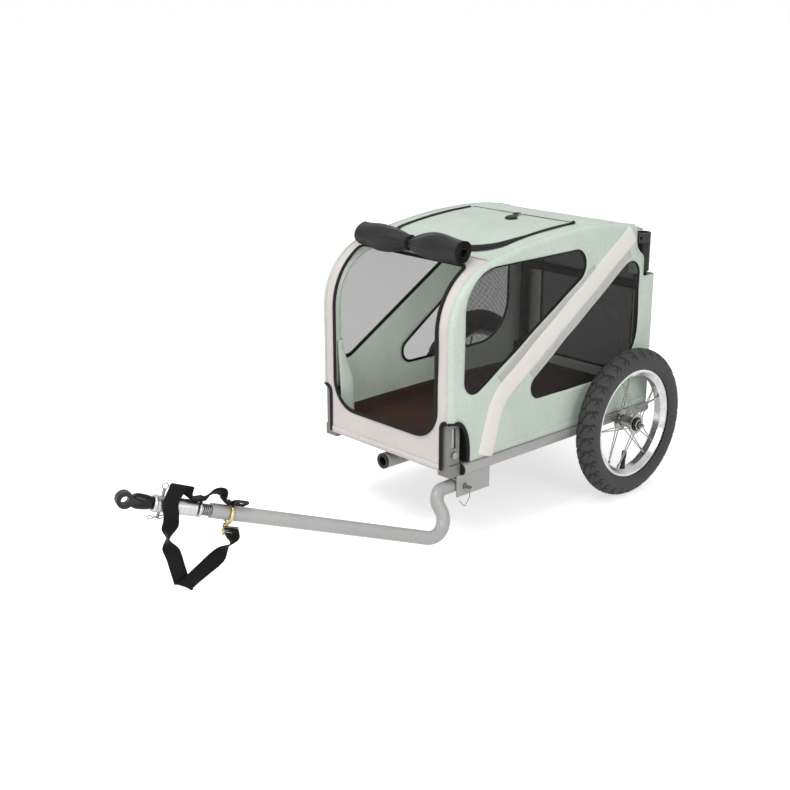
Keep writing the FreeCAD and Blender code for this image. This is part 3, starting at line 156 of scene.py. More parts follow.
def weave_group():
    """Threads: the product of two sine waves across the cloth, from 0 in the gaps to 1 on the crossings."""
    group, given, made = new_group("weave", [("Vector", VECTOR), ("Threads", NUMBER)], [("Height", NUMBER)])
    split = add(group, "ShaderNodeSeparateXYZ", {"Vector": given["Vector"]})
    turns = maths(group, "MULTIPLY", given["Threads"], np.pi)
    waves = [maths(group, "SINE", maths(group, "MULTIPLY", split.outputs[axis], turns)) for axis in "XY"]
    crossing = maths(group, "MULTIPLY", *waves)
    group.links.new(maths(group, "MULTIPLY_ADD", crossing, 0.5, 0.5), made["Height"])
    return group


def patches_group():
    """Patchy colour: broad and fine noise between a light and a dark shade of the same dye."""
    group, given, made = new_group(
        "patches", [("Vector", VECTOR), ("Scale", NUMBER), ("Light", COLOUR), ("Dark", COLOUR)],
        [("Color", COLOUR)])
    broad = add(group, "ShaderNodeTexNoise",
                {"Vector": given["Vector"], "Scale": given["Scale"], "Detail": 4.0})
    fine_scale = maths(group, "MULTIPLY", given["Scale"], 14.0)
    fine = add(group, "ShaderNodeTexNoise", {"Vector": given["Vector"], "Scale": fine_scale, "Detail": 3.0})
    broad_part = maths(group, "MULTIPLY", broad.outputs["Fac"], 0.6)
    both = maths(group, "MULTIPLY_ADD", fine.outputs["Fac"], 0.4, broad_part)
    spread = add(group, "ShaderNodeMapRange", {"Value": both, "From Min": 0.35, "From Max": 0.65})
    mix = add(group, "ShaderNodeMix",
              {"Factor": spread.outputs["Result"], "A": given["Dark"], "B": given["Light"]}, data_type="RGBA")
    group.links.new(mix.outputs["Result"], made["Color"])
    return group


def scuffs_group():
    """Handling marks: stretched noise, kept only where it is strongest, as a mask."""
    group, given, made = new_group("scuffs", [("Vector", VECTOR), ("Scale", NUMBER)], [("Mask", NUMBER)])
    stretch = add(group, "ShaderNodeMapping", {"Vector": given["Vector"], "Scale": (1.0, 0.35, 1.6)})
    noise = add(group, "ShaderNodeTexNoise",
                {"Vector": stretch.outputs[0], "Scale": given["Scale"], "Detail": 6.0, "Roughness": 0.65})
    keep = add(group, "ShaderNodeMapRange",
               {"Value": noise.outputs["Fac"], "From Min": 0.45, "From Max": 0.75})
    group.links.new(keep.outputs["Result"], made["Mask"])
    return group


WEAVE, PATCHES, SCUFFS = weave_group(), patches_group(), scuffs_group()
print("effects:", [group.name for group in bpy.data.node_groups])

# %% [markdown]
# A finish starts as a material with one Principled shader. The effects are then placed in it with their own
# values. These helpers do the steps that every finish needs: the patchy dye and a fine grain.

# %% Starting a finish
FINISHES = {}


def start(name):
    """A new finish: its node tree, its Principled shader and the coordinates of the piece."""
    material = bpy.data.materials.new(name)
    material.use_nodes = True
    FINISHES[name] = material
    tree = material.node_tree
    return tree, tree.nodes["Principled BSDF"], add(tree, "ShaderNodeTexCoord").outputs


def place_group(tree, group, inputs):
    """A shared effect placed in a material."""
    return add(tree, "ShaderNodeGroup", inputs, node_tree=group).outputs


def dye(tree, at, tone, patch, scale):
    """Patchy colour on the piece's own coordinates: a tone, and the same tone with a share of its light."""
    dark = (*[channel * patch for channel in tone[:3]], 1.0)
    inputs = {"Vector": at["Object"], "Scale": scale, "Light": tone, "Dark": dark}
    return place_group(tree, PATCHES, inputs)["Color"]


def grain_bump(tree, shader, at, scale, distance):
    """A fine grain: noise on the piece's own coordinates, as bump of a distance in metres."""
    noise = add(tree, "ShaderNodeTexNoise", {"Vector": at["Object"], "Scale": scale, "Detail": 2.0})
    lift = add(tree, "ShaderNodeBump",
               {"Height": noise.outputs["Fac"], "Distance": distance, "Strength": 0.5})
    tree.links.new(lift.outputs[0], shader.inputs["Normal"])


print("helpers for finishes ready")

# %% [markdown]
# Two makers of finishes cover most of the trailer. A cloth has patchy dye, painted shade between its threads,
# a thread bump and a soft sheen. A hard finish has patchy colour and scuffs that change how sharply it
# shines.

# %% Finishes
def cloth(name, tone, threads, bump=0.0003, roughness=0.85, sheen=0.15, patch=0.86, shine=0.5, strength=0.6):
    """Woven cloth: patchy dye with painted shade between the threads, and the threads as bump."""
    tree, shader, at = start(name)
    height = place_group(tree, WEAVE, {"Vector": at["UV"], "Threads": threads})["Height"]
    dyed = dye(tree, at, tone, patch, 9.0)
    # Painted light and shade of the weave: darker between the threads, a little lighter on their crossings.
    thread_shade = add(tree, "ShaderNodeMapRange", {"Value": height, "To Min": 0.86, "To Max": 1.04})
    mix = add(tree, "ShaderNodeVectorMath", {0: dyed, "Scale": thread_shade.outputs["Result"]}, operation="SCALE")
    tree.links.new(mix.outputs[0], shader.inputs["Base Color"])
    lift = add(tree, "ShaderNodeBump", {"Height": height, "Distance": bump, "Strength": strength})
    tree.links.new(lift.outputs[0], shader.inputs["Normal"])
    shader.inputs["Roughness"].default_value = roughness
    shader.inputs["Sheen Weight"].default_value = sheen
    shader.inputs["Specular IOR Level"].default_value = shine


def hard(name, tone, roughness, metallic=0.0, patch=0.9, scale=14.0, wear=0.2, grain=None, coat=0.0,
         mirror=0.5):
    """Paint, plated metal or moulded plastic: patchy colour, scuffs in the shine, and a fine grain."""
    tree, shader, at = start(name)
    tree.links.new(dye(tree, at, tone, patch, scale), shader.inputs["Base Color"])
    marks = place_group(tree, SCUFFS, {"Vector": at["Object"], "Scale": scale * 6})["Mask"]
    dullest = min(1.0, roughness + wear)
    shine = add(tree, "ShaderNodeMapRange", {"Value": marks, "To Min": roughness, "To Max": dullest})
    tree.links.new(shine.outputs["Result"], shader.inputs["Roughness"])
    shader.inputs["Metallic"].default_value = metallic
    shader.inputs["Coat Weight"].default_value = coat
    shader.inputs["Specular IOR Level"].default_value = mirror
    if grain:
        grain_bump(tree, shader, at, *grain)


PAINT_GRAIN = (1400, 0.0001)
cloth("mint_fabric", colour(199, 211, 199), 900)
cloth("white_fabric", colour(214, 207, 204), 900, patch=0.93)
cloth("band_fabric", colour(228, 224, 219), 900, patch=0.95)
cloth("black_fabric", colour(17, 17, 18), 800, sheen=0.03, patch=0.7, shine=0.3)
cloth("roll_fabric", colour(12, 12, 13), 800, roughness=0.5, sheen=0.03, patch=0.6, shine=0.34)
cloth("floor_fabric", colour(62, 40, 32), 500, bump=0.0006, sheen=0.03, patch=0.65, shine=0.2)
cloth("black_webbing", colour(14, 14, 14), 620, bump=0.0007, roughness=0.65, sheen=0.02, patch=0.75,
      shine=0.13, strength=0.9)
cloth("grey_tape", colour(186, 184, 182), 1400, roughness=0.4, sheen=0.0)
hard("grey_paint", colour(160, 159, 158), 0.36, coat=0.2, grain=PAINT_GRAIN)
# The brackets' finish is the grey paint made darker as painted shade.
hard("bracket_shaded_paint", colour(118, 117, 113), 0.34, coat=0.2, patch=0.8, grain=PAINT_GRAIN)
hard("pale_paint", colour(176, 184, 176), 0.38, coat=0.15, grain=PAINT_GRAIN)
hard("black_paint", colour(13, 13, 13), 0.16, grain=(1200, 0.0001), mirror=0.22)
hard("zinc", colour(158, 157, 153), 0.3, metallic=1.0, patch=0.7, scale=40)
hard("chrome", colour(166, 165, 163), 0.16, metallic=1.0, patch=0.7, scale=60, wear=0.15)
hard("bare_aluminium", colour(200, 200, 200), 0.3, metallic=1.0, patch=0.72, scale=22, wear=0.2)
hard("black_plastic", colour(20, 20, 20), 0.42, grain=(900, 0.0002), mirror=0.35)
hard("brass_plate", colour(204, 186, 130), 0.2, metallic=1.0, patch=0.6, scale=60)
hard("rim_alloy", colour(214, 214, 214), 0.2, metallic=1.0, patch=0.62, scale=26, wear=0.2)
print(len(FINISHES), "finishes")

# %% [markdown]
# Tyre rubber is patchy grey on its blocks, with painted shade in its grooves. The tyre's mesh stores how deep
# each point lies in a groove, and the material reads that number, so the painted shade follows the tread
# exactly.

# %% Rubber
def rubber(name, block, groove):
    """Rubber: patchy grey on the blocks, mixed to dark by the mesh's own groove depth as painted shade."""
    tree, shader, at = start(name)
    depth = add(tree, "ShaderNodeAttribute", attribute_name="groove").outputs["Fac"]
    rubber_tone = dye(tree, at, block, 0.72, 16.0)
    mix = add(tree, "ShaderNodeMix", {"Factor": depth, "A": rubber_tone, "B": groove}, data_type="RGBA")
    tree.links.new(mix.outputs["Result"], shader.inputs["Base Color"])
    grain_bump(tree, shader, at, 700.0, 0.0004)
    shader.inputs["Roughness"].default_value = 0.72


# The second colour is the painted shade in the tyre's grooves.
rubber("tyre_rubber", colour(58, 57, 57), colour(24, 24, 24))
print("rubber ready")

# %% [markdown]
# The windows are an open knit. Thread and hole alternate on the cloth's own coordinates, and the holes are
# truly see-through, so that the far wall and the floor show through the near window.

# %% Window mesh
def knit(name, tone, pitch, cover):
    """Open knit: its opacity waves with the threads about the covered share.

    Light that only passes on its way to another surface is held back less, since real threads scatter it on.
    """
    tree, shader, at = start(name)
    height = place_group(tree, WEAVE, {"Vector": at["UV"], "Threads": 1 / pitch})["Height"]
    tree.links.new(dye(tree, at, tone, 0.8, 30.0), shader.inputs["Base Color"])
    spread = min(0.25, (1 - cover) * 0.9)
    cut = add(tree, "ShaderNodeMapRange", {"Value": height, "From Min": 0.3, "From Max": 0.7,
                                           "To Min": cover - spread, "To Max": cover + spread})
    path = add(tree, "ShaderNodeLightPath").outputs
    passing = maths(tree, "MAXIMUM", path["Is Shadow Ray"], path["Is Diffuse Ray"])
    held = maths(tree, "MULTIPLY_ADD", passing, -0.65, 1.0)
    tree.links.new(maths(tree, "MULTIPLY", cut.outputs["Result"], held), shader.inputs["Alpha"])
    shader.inputs["Roughness"].default_value = 0.75
    shader.inputs["Specular IOR Level"].default_value = 0.2


KNIT_PITCH = 0.0012
knit("black_mesh", colour(40, 38, 37), KNIT_PITCH, 0.64)
knit("dark_mesh", colour(27, 26, 25), KNIT_PITCH, 0.94)
print("knits ready")

# %% [markdown]
# Every new shape below is a numpy grid or a section carried along a path. These helpers turn such arrays into
# a mesh, with faces between the lines of the grid and the flat coordinates as a UV map.

# %% Mesh helpers
def mesh_piece(name, points, faces, uv=None, outward=None):
    """A smooth mesh object from points and faces; faces are turned to look away from the point outward."""
    points = np.asarray(points, float).reshape(-1, 3)
    faces = np.asarray(faces)
    if outward is not None:
        a, b, c = (points[faces[:, i]] for i in range(3))
        away = np.einsum("ij,ij->i", np.cross(b - a, c - a), (a + b + c) / 3 - outward).sum()
        faces = faces if away > 0 else faces[:, ::-1]
    mesh = bpy.data.meshes.new(name)
    mesh.from_pydata(points.tolist(), [], faces.tolist())
    mesh.polygons.foreach_set("use_smooth", np.ones(len(mesh.polygons), bool))
    if uv is not None:
        layer = mesh.uv_layers.new(name="flat")
        layer.data.foreach_set("uv", np.asarray(uv, float).reshape(-1, 2)[faces.reshape(-1)].reshape(-1))
    item = bpy.data.objects.new(name, mesh)
    bpy.context.scene.collection.objects.link(item)
    return item


def quads(rows, cols, wrap_rows=False, wrap_cols=False):
    """Corner numbers of the quads between the lines of a grid, joined up where a direction wraps."""
    index = np.arange(rows * cols).reshape(rows, cols)
    index = np.vstack([index, index[:1]]) if wrap_rows else index
    index = np.hstack([index, index[:, :1]]) if wrap_cols else index
    corners = [index[:-1, :-1], index[:-1, 1:], index[1:, 1:], index[1:, :-1]]
    return np.stack(corners, axis=-1).reshape(-1, 4)


def tidy(item):
    """Merges doubled points and turns all faces of a closed shape outward."""
    work = bmesh.new()
    work.from_mesh(item.data)
    bmesh.ops.remove_doubles(work, verts=work.verts, dist=1e-6)
    bmesh.ops.recalc_face_normals(work, faces=work.faces)
    work.to_mesh(item.data)
    work.free()
    return item


def surface(name, grid, wrap_rows=False, wrap_cols=False, uv=None, outward=None, closed=False):
    """A grid of points as a skin of quads."""
    rows, cols = grid.shape[:2]
    item = mesh_piece(name, grid, quads(rows, cols, wrap_rows, wrap_cols), uv, outward)
    return tidy(item) if closed else item


print("mesh helpers ready")

# %% [markdown]
# Tapes, wires and webbing all have one section along their whole length. A sweep carries such a section along
# a path, which is quicker than drawing each one and bends as a real strip does.

# %% Sweeps
def steps_of(path):
    """Lengths of the steps from each point of a path to the next."""
    return np.linalg.norm(np.diff(path, axis=0), axis=1)


def run_along(path):
    """Length from the start of a path to each of its points."""
    return np.concatenate([[0], np.cumsum(steps_of(path))])


def sweep(name, path, up, section, closed=False, across=None):
    """A section carried along a path: point = path + across * x + lift * y, with open ends drawn shut."""
    heading = np.roll(path, -1, axis=0) - np.roll(path, 1, axis=0) if closed else np.gradient(path, axis=0)
    across = unit(np.cross(heading, np.broadcast_to(up, path.shape))) if across is None else across
    lift = unit(np.cross(across, heading))
    grid = path[:, None] + across[:, None] * section[:, :1] * MM + lift[:, None] * section[:, 1:] * MM
    width = np.linspace(0, 1, len(section)) * np.ptp(section[:, 0]) * 2 * MM
    uv = np.stack(np.broadcast_arrays(width[None], run_along(path)[:, None]), axis=-1)
    if not closed:
        grid = np.concatenate([grid[:1] * 0 + path[0], grid, grid[:1] * 0 + path[-1]])
        uv = np.concatenate([uv[:1], uv, uv[-1:]])
    return surface(name, grid, closed, True, uv, closed=True)


def flat_section(width, thickness, base=0.0):
    """A flat strip with softened edges, lying on base."""
    half, edge = width / 2, thickness / 2
    return np.array([[-half, base], [half, base], [half + edge / 2, base + edge], [half, base + thickness],
                     [0, base + thickness * 1.1], [-half, base + thickness], [-half - edge / 2, base + edge]])


def round_section(radius, count=10):
    """A circle of points."""
    turn = np.linspace(0, 2 * np.pi, count, endpoint=False)
    return np.stack([np.cos(turn), np.sin(turn)], axis=-1) * radius


print("sweeps ready")

# %% [markdown]
# Each piece gets a finish, named by its slot unless it has one of its own, and the body that it moves with.
# The cabin's cloth can't follow the hoops rigidly when they fold, so each piece of it that crumples gets a
# mesh of its own.

# %% Dressing a piece
def dress(item, body, slot, finish=None, crumples=False, thickness=None):
    """Finish, named by the slot unless given, and body of a piece; cloth that crumples gets a mesh of its
    own.
    """
    item.data.materials.append(FINISHES[finish or slot])
    if thickness:
        wall = item.modifiers.new("cloth thickness", "SOLIDIFY")
        wall.thickness, wall.offset = thickness * MM, -1.0
    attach(item, body)
    if crumples:
        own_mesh(item)
    return item


print("dressing ready")

# %% [markdown]
# The hitch and the strap lie along the front run of the tow arm, which is neither level nor straight ahead.
# Its directions are written once, so a place is a distance behind the eye, a lift over the arm and a step
# outward. World coordinates would do the same, but nobody could read them.

# %% Tow arm line
EYE = np.array([0.030, -0.5864, 0.217])
ALONG = np.array([0.281142, 0.910900, -0.302027])
LEVEL = np.array([0.294915, 0.955524, 0.0])
OUTWARD = np.array([0.955524, -0.294915, 0.0])
OVER = np.array([0.089072, 0.288594, 0.953299])
UPWARD = np.array([0.0, 0.0, 1.0])


def on_arm(distance, over=0.0, out=0.0):
    """A point in metres at millimetres behind the eye along the arm, lifted and set outward square to it."""
    in_line = np.multiply.outer(distance, ALONG) + np.multiply.outer(over, OVER)
    return EYE + (in_line + np.multiply.outer(out, OUTWARD)) * MM


def beside_arm(behind, height, out):
    """A point in the upright plane beside the arm: millimetres behind the eye, above ground and outward."""
    return EYE * [1, 1, 0] + (LEVEL * behind + UPWARD * height + OUTWARD * out) * MM


print(f"the arm falls {np.degrees(np.arcsin(-ALONG[2])):.1f} degrees towards the rear")

# %% [markdown]
# The safety strap is flat webbing that hangs under its own weight. Its route has the hook, slack waves over
# the arm, a loose arch over the coupler sleeve, and a hanging bight back up to the slider below the hook. A
# simulated strap would hang somewhere else, so the places are given, each with the way its width faces.

# %% Strap route
STRAP_WIDTH, STRAP_THICKNESS = 25.0, 1.7
EDGE_ON = np.array([0.70, -0.65, 0.30])
BEFORE_FOLD = LEVEL * 0.97 + UPWARD * 0.24
FOLD = LEVEL * 0.93 - UPWARD * 0.37
AFTER_FOLD = LEVEL * 0.58 - UPWARD * 0.81
TILTED = OUTWARD + OVER * 0.9
route_and_facing = [
    (on_arm(178, 18), OUTWARD), (on_arm(167, 16.5), OUTWARD), (on_arm(159, 20), OUTWARD),
    (on_arm(163, 31), TILTED), (on_arm(151, 35.5), TILTED), (on_arm(139, 31), TILTED),
    (on_arm(130, 21), OUTWARD), (on_arm(119, 16), OUTWARD), (on_arm(103, 15.8), OUTWARD),
    (on_arm(95, 22, 1), OUTWARD + ALONG), (on_arm(93, 34, 2), ALONG + OUTWARD * 0.4),
    (on_arm(83, 38.5, 7), ALONG), (on_arm(75, 33, 15), ALONG), (beside_arm(67, 205, 19), ALONG),
    (beside_arm(69, 176, 18.5), LEVEL), (beside_arm(58, 142, 17), EDGE_ON + LEVEL * 0.3),
    (beside_arm(69, 115, 16), LEVEL), (beside_arm(74, 92, 14.5), BEFORE_FOLD),
    (beside_arm(81, 63, 13.5), BEFORE_FOLD), (beside_arm(82.4, 56, 15.5), FOLD),
    (beside_arm(87, 60, 17.5), AFTER_FOLD), (beside_arm(104, 72, 17), AFTER_FOLD),
    (beside_arm(131, 90, 16), AFTER_FOLD + EDGE_ON * 0.2),
    (beside_arm(153, 105, 15.5), AFTER_FOLD + EDGE_ON * 0.8), (beside_arm(169, 120, 16), EDGE_ON),
    (beside_arm(167, 137, 16), LEVEL * 0.75 + OUTWARD * 0.65),
    (beside_arm(165, 146, 16), LEVEL * 0.8 + OUTWARD * 0.6),
]
route, facing = (np.array(column) for column in zip(*route_and_facing))
print(len(route), "places on the strap's route")

# %% [markdown]
# A smooth spline is guided by those places, and the ribbon is carried along points read from it. Its width
# turns with the given directions, so it twists where the real strap shows its edge.

# %% Strap webbing
def spline_points(points, steps):
    """Points read from a smooth spline with given control points; its order is set once they are added."""
    curve = bpy.data.curves.new("route", "CURVE")
    curve.dimensions = "3D"
    spline = curve.splines.new("NURBS")
    spline.points.add(len(points) - 1)
    spline.points.foreach_set("co", np.c_[np.array(points), np.ones(len(points))].reshape(-1))
    spline.order_u, spline.use_endpoint_u, spline.resolution_u = 3, True, steps
    holder = bpy.data.objects.new("route", curve)
    mesh = bpy.data.meshes.new_from_object(holder)
    line = np.zeros(len(mesh.vertices) * 3)
    mesh.vertices.foreach_get("co", line)
    bpy.data.objects.remove(holder)
    bpy.data.meshes.remove(mesh)
    return line.reshape(-1, 3)


# Where the given direction leans along the run, the ribbon is widened, down to this share of square.
LEAST_SQUARE = 0.74
centreline = spline_points(route, 16)
run_share = np.linspace(0, len(route) - 1, len(centreline))
width_way = np.stack([np.interp(run_share, np.arange(len(route)), column) for column in facing.T], axis=-1)
width_way = unit(width_way)
strap_heading = unit(np.gradient(centreline, axis=0))
square_share = np.linalg.norm(np.cross(width_way, strap_heading), axis=1, keepdims=True)
width_way /= np.clip(square_share, LEAST_SQUARE, 1)
strap_section = flat_section(STRAP_WIDTH, STRAP_THICKNESS, -STRAP_THICKNESS / 2)
strap = sweep("safety_strap_webbing", centreline, UPWARD, strap_section, across=width_way)
strap.data.materials.append(FINISHES["black_webbing"])
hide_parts("safety_strap", "strap_tail")
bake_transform(strap)

# %% [markdown]
# The strap ends in a slider below the hook and passes a buckle behind it. Both are small frames: a wire ring
# with rounded corners and a thinner bar across it, which the webbing is threaded round. A torus could be
# squeezed into this shape, but a wire carried round a formula keeps its thickness.

# %% Slider and buckle
def rounded_frame(width, length, corner, count=28):
    """A rounded rectangle by the superellipse |u|^n + |v|^n = 1 stretched to width and length."""
    turn = np.linspace(0, 2 * np.pi, count, endpoint=False)
    power = 2 / corner
    u = np.sign(np.cos(turn)) * np.abs(np.cos(turn)) ** power
    v = np.sign(np.sin(turn)) * np.abs(np.sin(turn)) ** power
    return np.stack([u * width / 2, v * length / 2], axis=-1)


BAR_SHARE, BAR_PLACE = 0.8, -0.1
LADDER, CLASP = (25, 10, 1.1), (25, 24, 2.6)


def webbing_frame(name, middle, across, along, width, length, wire, finish):
    """A ring of round wire carried round a rounded rectangle, with a bar across it just off its middle."""
    across, along = unit(across), unit(along)
    loop = rounded_frame(width, length, 5)
    ring = middle + (loop[:, :1] * across + loop[:, 1:] * along) * MM
    item = sweep(name, ring, np.cross(across, along), round_section(wire, 8), closed=True)
    ends = middle + (np.array([[-0.5], [0.5]]) * width * across + BAR_PLACE * length * along) * MM
    rod = sweep(f"{name}_bar", np.linspace(ends[0], ends[1], 4), along, round_section(wire * BAR_SHARE, 8))
    return [dress(piece, "tow_arm", "black_plastic", finish) for piece in (item, rod)]


slider_way = unit(centreline[-1] - centreline[-12])
slider = webbing_frame("strap_ladder", centreline[-1] - slider_way * 0.006, width_way[-1], slider_way,
                       *LADDER, "zinc")
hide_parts("strap_slider")
buckle = webbing_frame("strap_clasp", on_arm(190, 18), OUTWARD + OVER * 0.6, ALONG, *CLASP,
                       "black_plastic")
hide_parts("strap_buckle")
print("slider and buckle ready")

# %% [markdown]
# Behind the eye the hitch has a broad forged neck, and the sleeve has a turned collar at each end. The neck
# is neither round nor square, so it is a grid of rings with its own height and width. The collars are
# turned parts: a profile spun round a line.

# %% Hitch neck and collars
def lathe(name, centre, axis, profile, count=28, ring_shaped=False):
    """A profile of (along, radius) in millimetres spun round an axis through centre, shut or left a ring."""
    axis = unit(axis)
    side_way = unit(np.cross(axis, [0.31, 0.17, 0.94]))
    turn = np.linspace(0, 2 * np.pi, count, endpoint=False)
    ring = np.cos(turn)[:, None] * side_way + np.sin(turn)[:, None] * np.cross(axis, side_way)
    profile = np.array(profile if ring_shaped else [(profile[0][0], 0.0), *profile, (profile[-1][0], 0.0)])
    grid = centre + (profile[:, :1, None] * axis + profile[:, 1:, None] * ring[None]) * MM
    uv = np.stack(np.broadcast_arrays(profile[:, :1] * MM, turn[None] * 0.01), axis=-1)
    return surface(name, grid, ring_shaped, True, uv, closed=True)


NECK_FRONT, NECK_REAR, NECK_RINGS = 9.0, 47.0, 40


def neck(distance):
    """Half height and half width of the forged neck at a distance behind the eye."""
    stations = np.array([NECK_FRONT, 13, 18, 26, 35, 42, NECK_REAR])
    tall = np.interp(distance, stations, [7.5, 11.0, 13.0, 13.2, 12.4, 10.8, 9.4])
    wide = np.interp(distance, stations, [5.0, 6.8, 8.0, 9.6, 10.2, 10.0, 9.2])
    return tall, wide


def softened(line):
    """A line of values, each replaced by the mean of the seven about it."""
    return np.convolve(np.pad(line, 3, mode="edge"), np.ones(7) / 7, "valid")


neck_at = np.linspace(NECK_FRONT, NECK_REAR, NECK_RINGS)
tall, wide = (softened(line)[:, None] for line in neck(neck_at))
neck_turn = np.linspace(0, 2 * np.pi, NECK_RINGS, endpoint=False)
side_dent = np.exp(-((np.abs(np.sin(neck_turn)) / 0.25) ** 2))[None]
flute = 1 - 0.16 * side_dent * smooth((neck_at[:, None] - 12) / 8)
neck_grid = on_arm(neck_at[:, None], tall * np.sin(neck_turn), wide * np.cos(neck_turn) * flute)
neck_tips = [on_arm(np.full((1, NECK_RINGS), end)) for end in (NECK_FRONT, NECK_REAR)]
neck_grid = np.concatenate([neck_tips[0], neck_grid, neck_tips[1]])
dress(surface("hitch_neck", neck_grid, wrap_cols=True, closed=True), "coupler", "black_paint")
for label, near, far in (("front", 47.0, 52.5), ("rear", 121.5, 126.5)):
    reach = far - near
    rim = [(0, 12), (0, 13.6), (0.8, 14.4), (reach - 0.8, 14.4), (reach, 13.6), (reach, 12)]
    dress(lathe(f"{label}_sleeve_collar", on_arm(near), ALONG, rim, 40), "coupler", "bare_aluminium")
print("neck and collars ready")

# %% [markdown]
# The snap hook has a turned swivel and a thick sprung gate, and a bent wire clip keeps the hitch pin from
# falling out. Gate and clip are round wires carried along a bend, by the same sweep as the tapes.

# %% Hook and pin clip
HOOK, PIN, CLIP_OUT = 177.0, 60.0, 3.2
GATE_BEND, GATE_DROP = 15.9, 0.9
SWIVEL = [(0, 2.6), (1, 4.6), (7, 5.2), (8, 3.4), (10, 3.4), (11, 4.8), (15, 4.8), (17, 2.6)]
CLIP_BENDS = [(8, -16), (3, -18.5), (-4, -18.5), (-9, -23), (-14, -19), (-20, -24), (-13, -27), (-5, -21),
              (2, -24), (8, -21)]
dress(lathe("hook_swivel", on_arm(HOOK, -18), -OVER, SWIVEL), "tow_arm", "brass_plate")
gate_turn = np.radians(np.linspace(-70, 75, 40))
gate_path = on_arm(np.full(40, HOOK), GATE_BEND * np.sin(gate_turn) - GATE_DROP,
                   GATE_BEND * np.cos(gate_turn))
dress(sweep("hook_gate", gate_path, ALONG, round_section(3.1, 10)), "tow_arm", "brass_plate")
clip_route = [on_arm(PIN + behind, over, CLIP_OUT) for behind, over in CLIP_BENDS]
dress(sweep("pin_clip", spline_points(clip_route, 10), OUTWARD, round_section(0.9, 8)), "hitch_pin", "chrome")
print("hook and clip ready")

# %% [markdown]
# The cabin's outline, seen from the side, is an upright front, a large corner and two roof arcs. It is given
# by its length, so a cloth panel can be drawn flat, with its width and that length, and then bent into place.

# %% Cabin outline
CORNER_ROUND, CORNER_LEVEL, CORNER_END_PLACE = 125.0, 396.24, 97.03
CORNER_TURN = np.radians(180 - 102.93)
CREST, FRONT_ARC, REAR_ARC = (370.0, 549.0), 1220.0, 667.0
CORNER_END = CORNER_LEVEL + CORNER_ROUND * CORNER_TURN
CREST_RUN = CORNER_END + FRONT_ARC * np.arcsin((CREST[0] - CORNER_END_PLACE) / FRONT_ARC)
ROOF_RUN = CREST_RUN + REAR_ARC * np.arcsin((LENGTH - CREST[0]) / REAR_ARC)


def outline(run, inset=0.0):
    """Place and height on the outline after a length along it: a line, then three arcs with kept centres."""
    run = np.asarray(run, float)
    turn = np.pi - (run - CORNER_LEVEL) / CORNER_ROUND
    fore, aft = (run - CREST_RUN) / FRONT_ARC, (run - CREST_RUN) / REAR_ARC
    parts = [run < CORNER_LEVEL, run < CORNER_END, run < CREST_RUN]
    corner, front, rear = CORNER_ROUND - inset, FRONT_ARC - inset, REAR_ARC - inset
    y = np.select(
        parts, [inset + 0 * run, CORNER_ROUND + corner * np.cos(turn), CREST[0] + front * np.sin(fore)],
        CREST[0] + rear * np.sin(aft))
    z = np.select(
        parts, [run, CORNER_LEVEL + corner * np.sin(turn), CREST[1] - FRONT_ARC + front * np.cos(fore)],
        CREST[1] - REAR_ARC + rear * np.cos(aft))
    return y, z


def run_at(place):
    """Length along the outline at which the roof passes over a place."""
    runs = np.linspace(CORNER_LEVEL, ROOF_RUN, 4000)
    return float(np.interp(place, outline(runs)[0], runs))


def on_front(x, run, lift=0.0):
    """A point of the front or roof: x across, and a length along the outline, lifted outward."""
    y, z = outline(run, -np.asarray(lift, float))
    return metres(x, y, z)


print(f"outline {ROOF_RUN:.0f} mm")

# %% [markdown]
# The side walls are flat, but roll in at their edges to meet the front and the roof. Stretched cloth is never
# quite even, so most panels also get a little slack: long waves, the same on every run because their
# directions come from a set seed.

# %% Side wall and slack
SHORTEST_WAVE, LONGEST_WAVE = 60, 260


def edge_gap(y, z):
    """Distance of a place on the side wall from the outline above or before it."""
    corner = (y < CORNER_ROUND) & (z > CORNER_LEVEL) & (
        np.arctan2(z - CORNER_LEVEL, y - CORNER_ROUND) > np.pi - CORNER_TURN)
    return np.select(
        [corner, (z <= CORNER_LEVEL) & (y < CORNER_ROUND), y < CREST[0]],
        [CORNER_ROUND - np.hypot(y - CORNER_ROUND, z - CORNER_LEVEL), y,
         FRONT_ARC - np.hypot(y - CREST[0], z - CREST[1] + FRONT_ARC)],
        REAR_ARC - np.hypot(y - CREST[0], z - CREST[1] + REAR_ARC))


def wall_x(y, z):
    """Half width of the side cloth: flat, rolled in by a quarter round at the outline and the rear edge."""
    gap = np.clip(np.minimum(edge_gap(y, z), LENGTH - y), 0, EDGE_ROUND)
    return HALF_WIDTH - EDGE_ROUND + np.sqrt(EDGE_ROUND ** 2 - (EDGE_ROUND - gap) ** 2)


def ripple(u, v, seed, depth=1.0):
    """Slack in stretched cloth: a sum of sine waves in seeded directions, 60 to 260 mm long."""
    rng = np.random.default_rng(seed)
    total = 0.0
    for wave in rng.uniform(SHORTEST_WAVE, LONGEST_WAVE, 8):
        turn, shift = rng.uniform(0, 2 * np.pi, 2)
        along = u * np.cos(turn) + v * np.sin(turn)
        total = total + np.sin(along * 2 * np.pi / wave + shift) * wave / LONGEST_WAVE
    return total * depth / 2.4


print("side wall ready")

# %% [markdown]
# A panel is cut flat, as a tailor would cut it: an outer loop, holes for windows and doorway, and an even
# field of points between them. The triangles between these points give cloth that can take any outline.

# %% Loops
def corner_arc(before, corner, after, radius, step=None):
    """Points of the arc that touches both sides of a corner: about one to each step, or 16."""
    ways = unit(before - corner), unit(after - corner)
    half = np.arccos(np.clip(ways[0] @ ways[1], -1, 1)) / 2
    centre = corner + unit(ways[0] + ways[1]) * radius / np.sin(half)
    ends = corner + np.array(ways) * radius / np.tan(half) - centre
    first, last = np.arctan2(ends[:, 1], ends[:, 0])
    bend = (last - first + np.pi) % (2 * np.pi) - np.pi
    count = 16 if step is None else max(3, int(abs(bend) * radius / step) + 1)
    turn = first + bend * np.linspace(0, 1, count)
    return centre + radius * np.stack([np.cos(turn), np.sin(turn)], axis=-1)


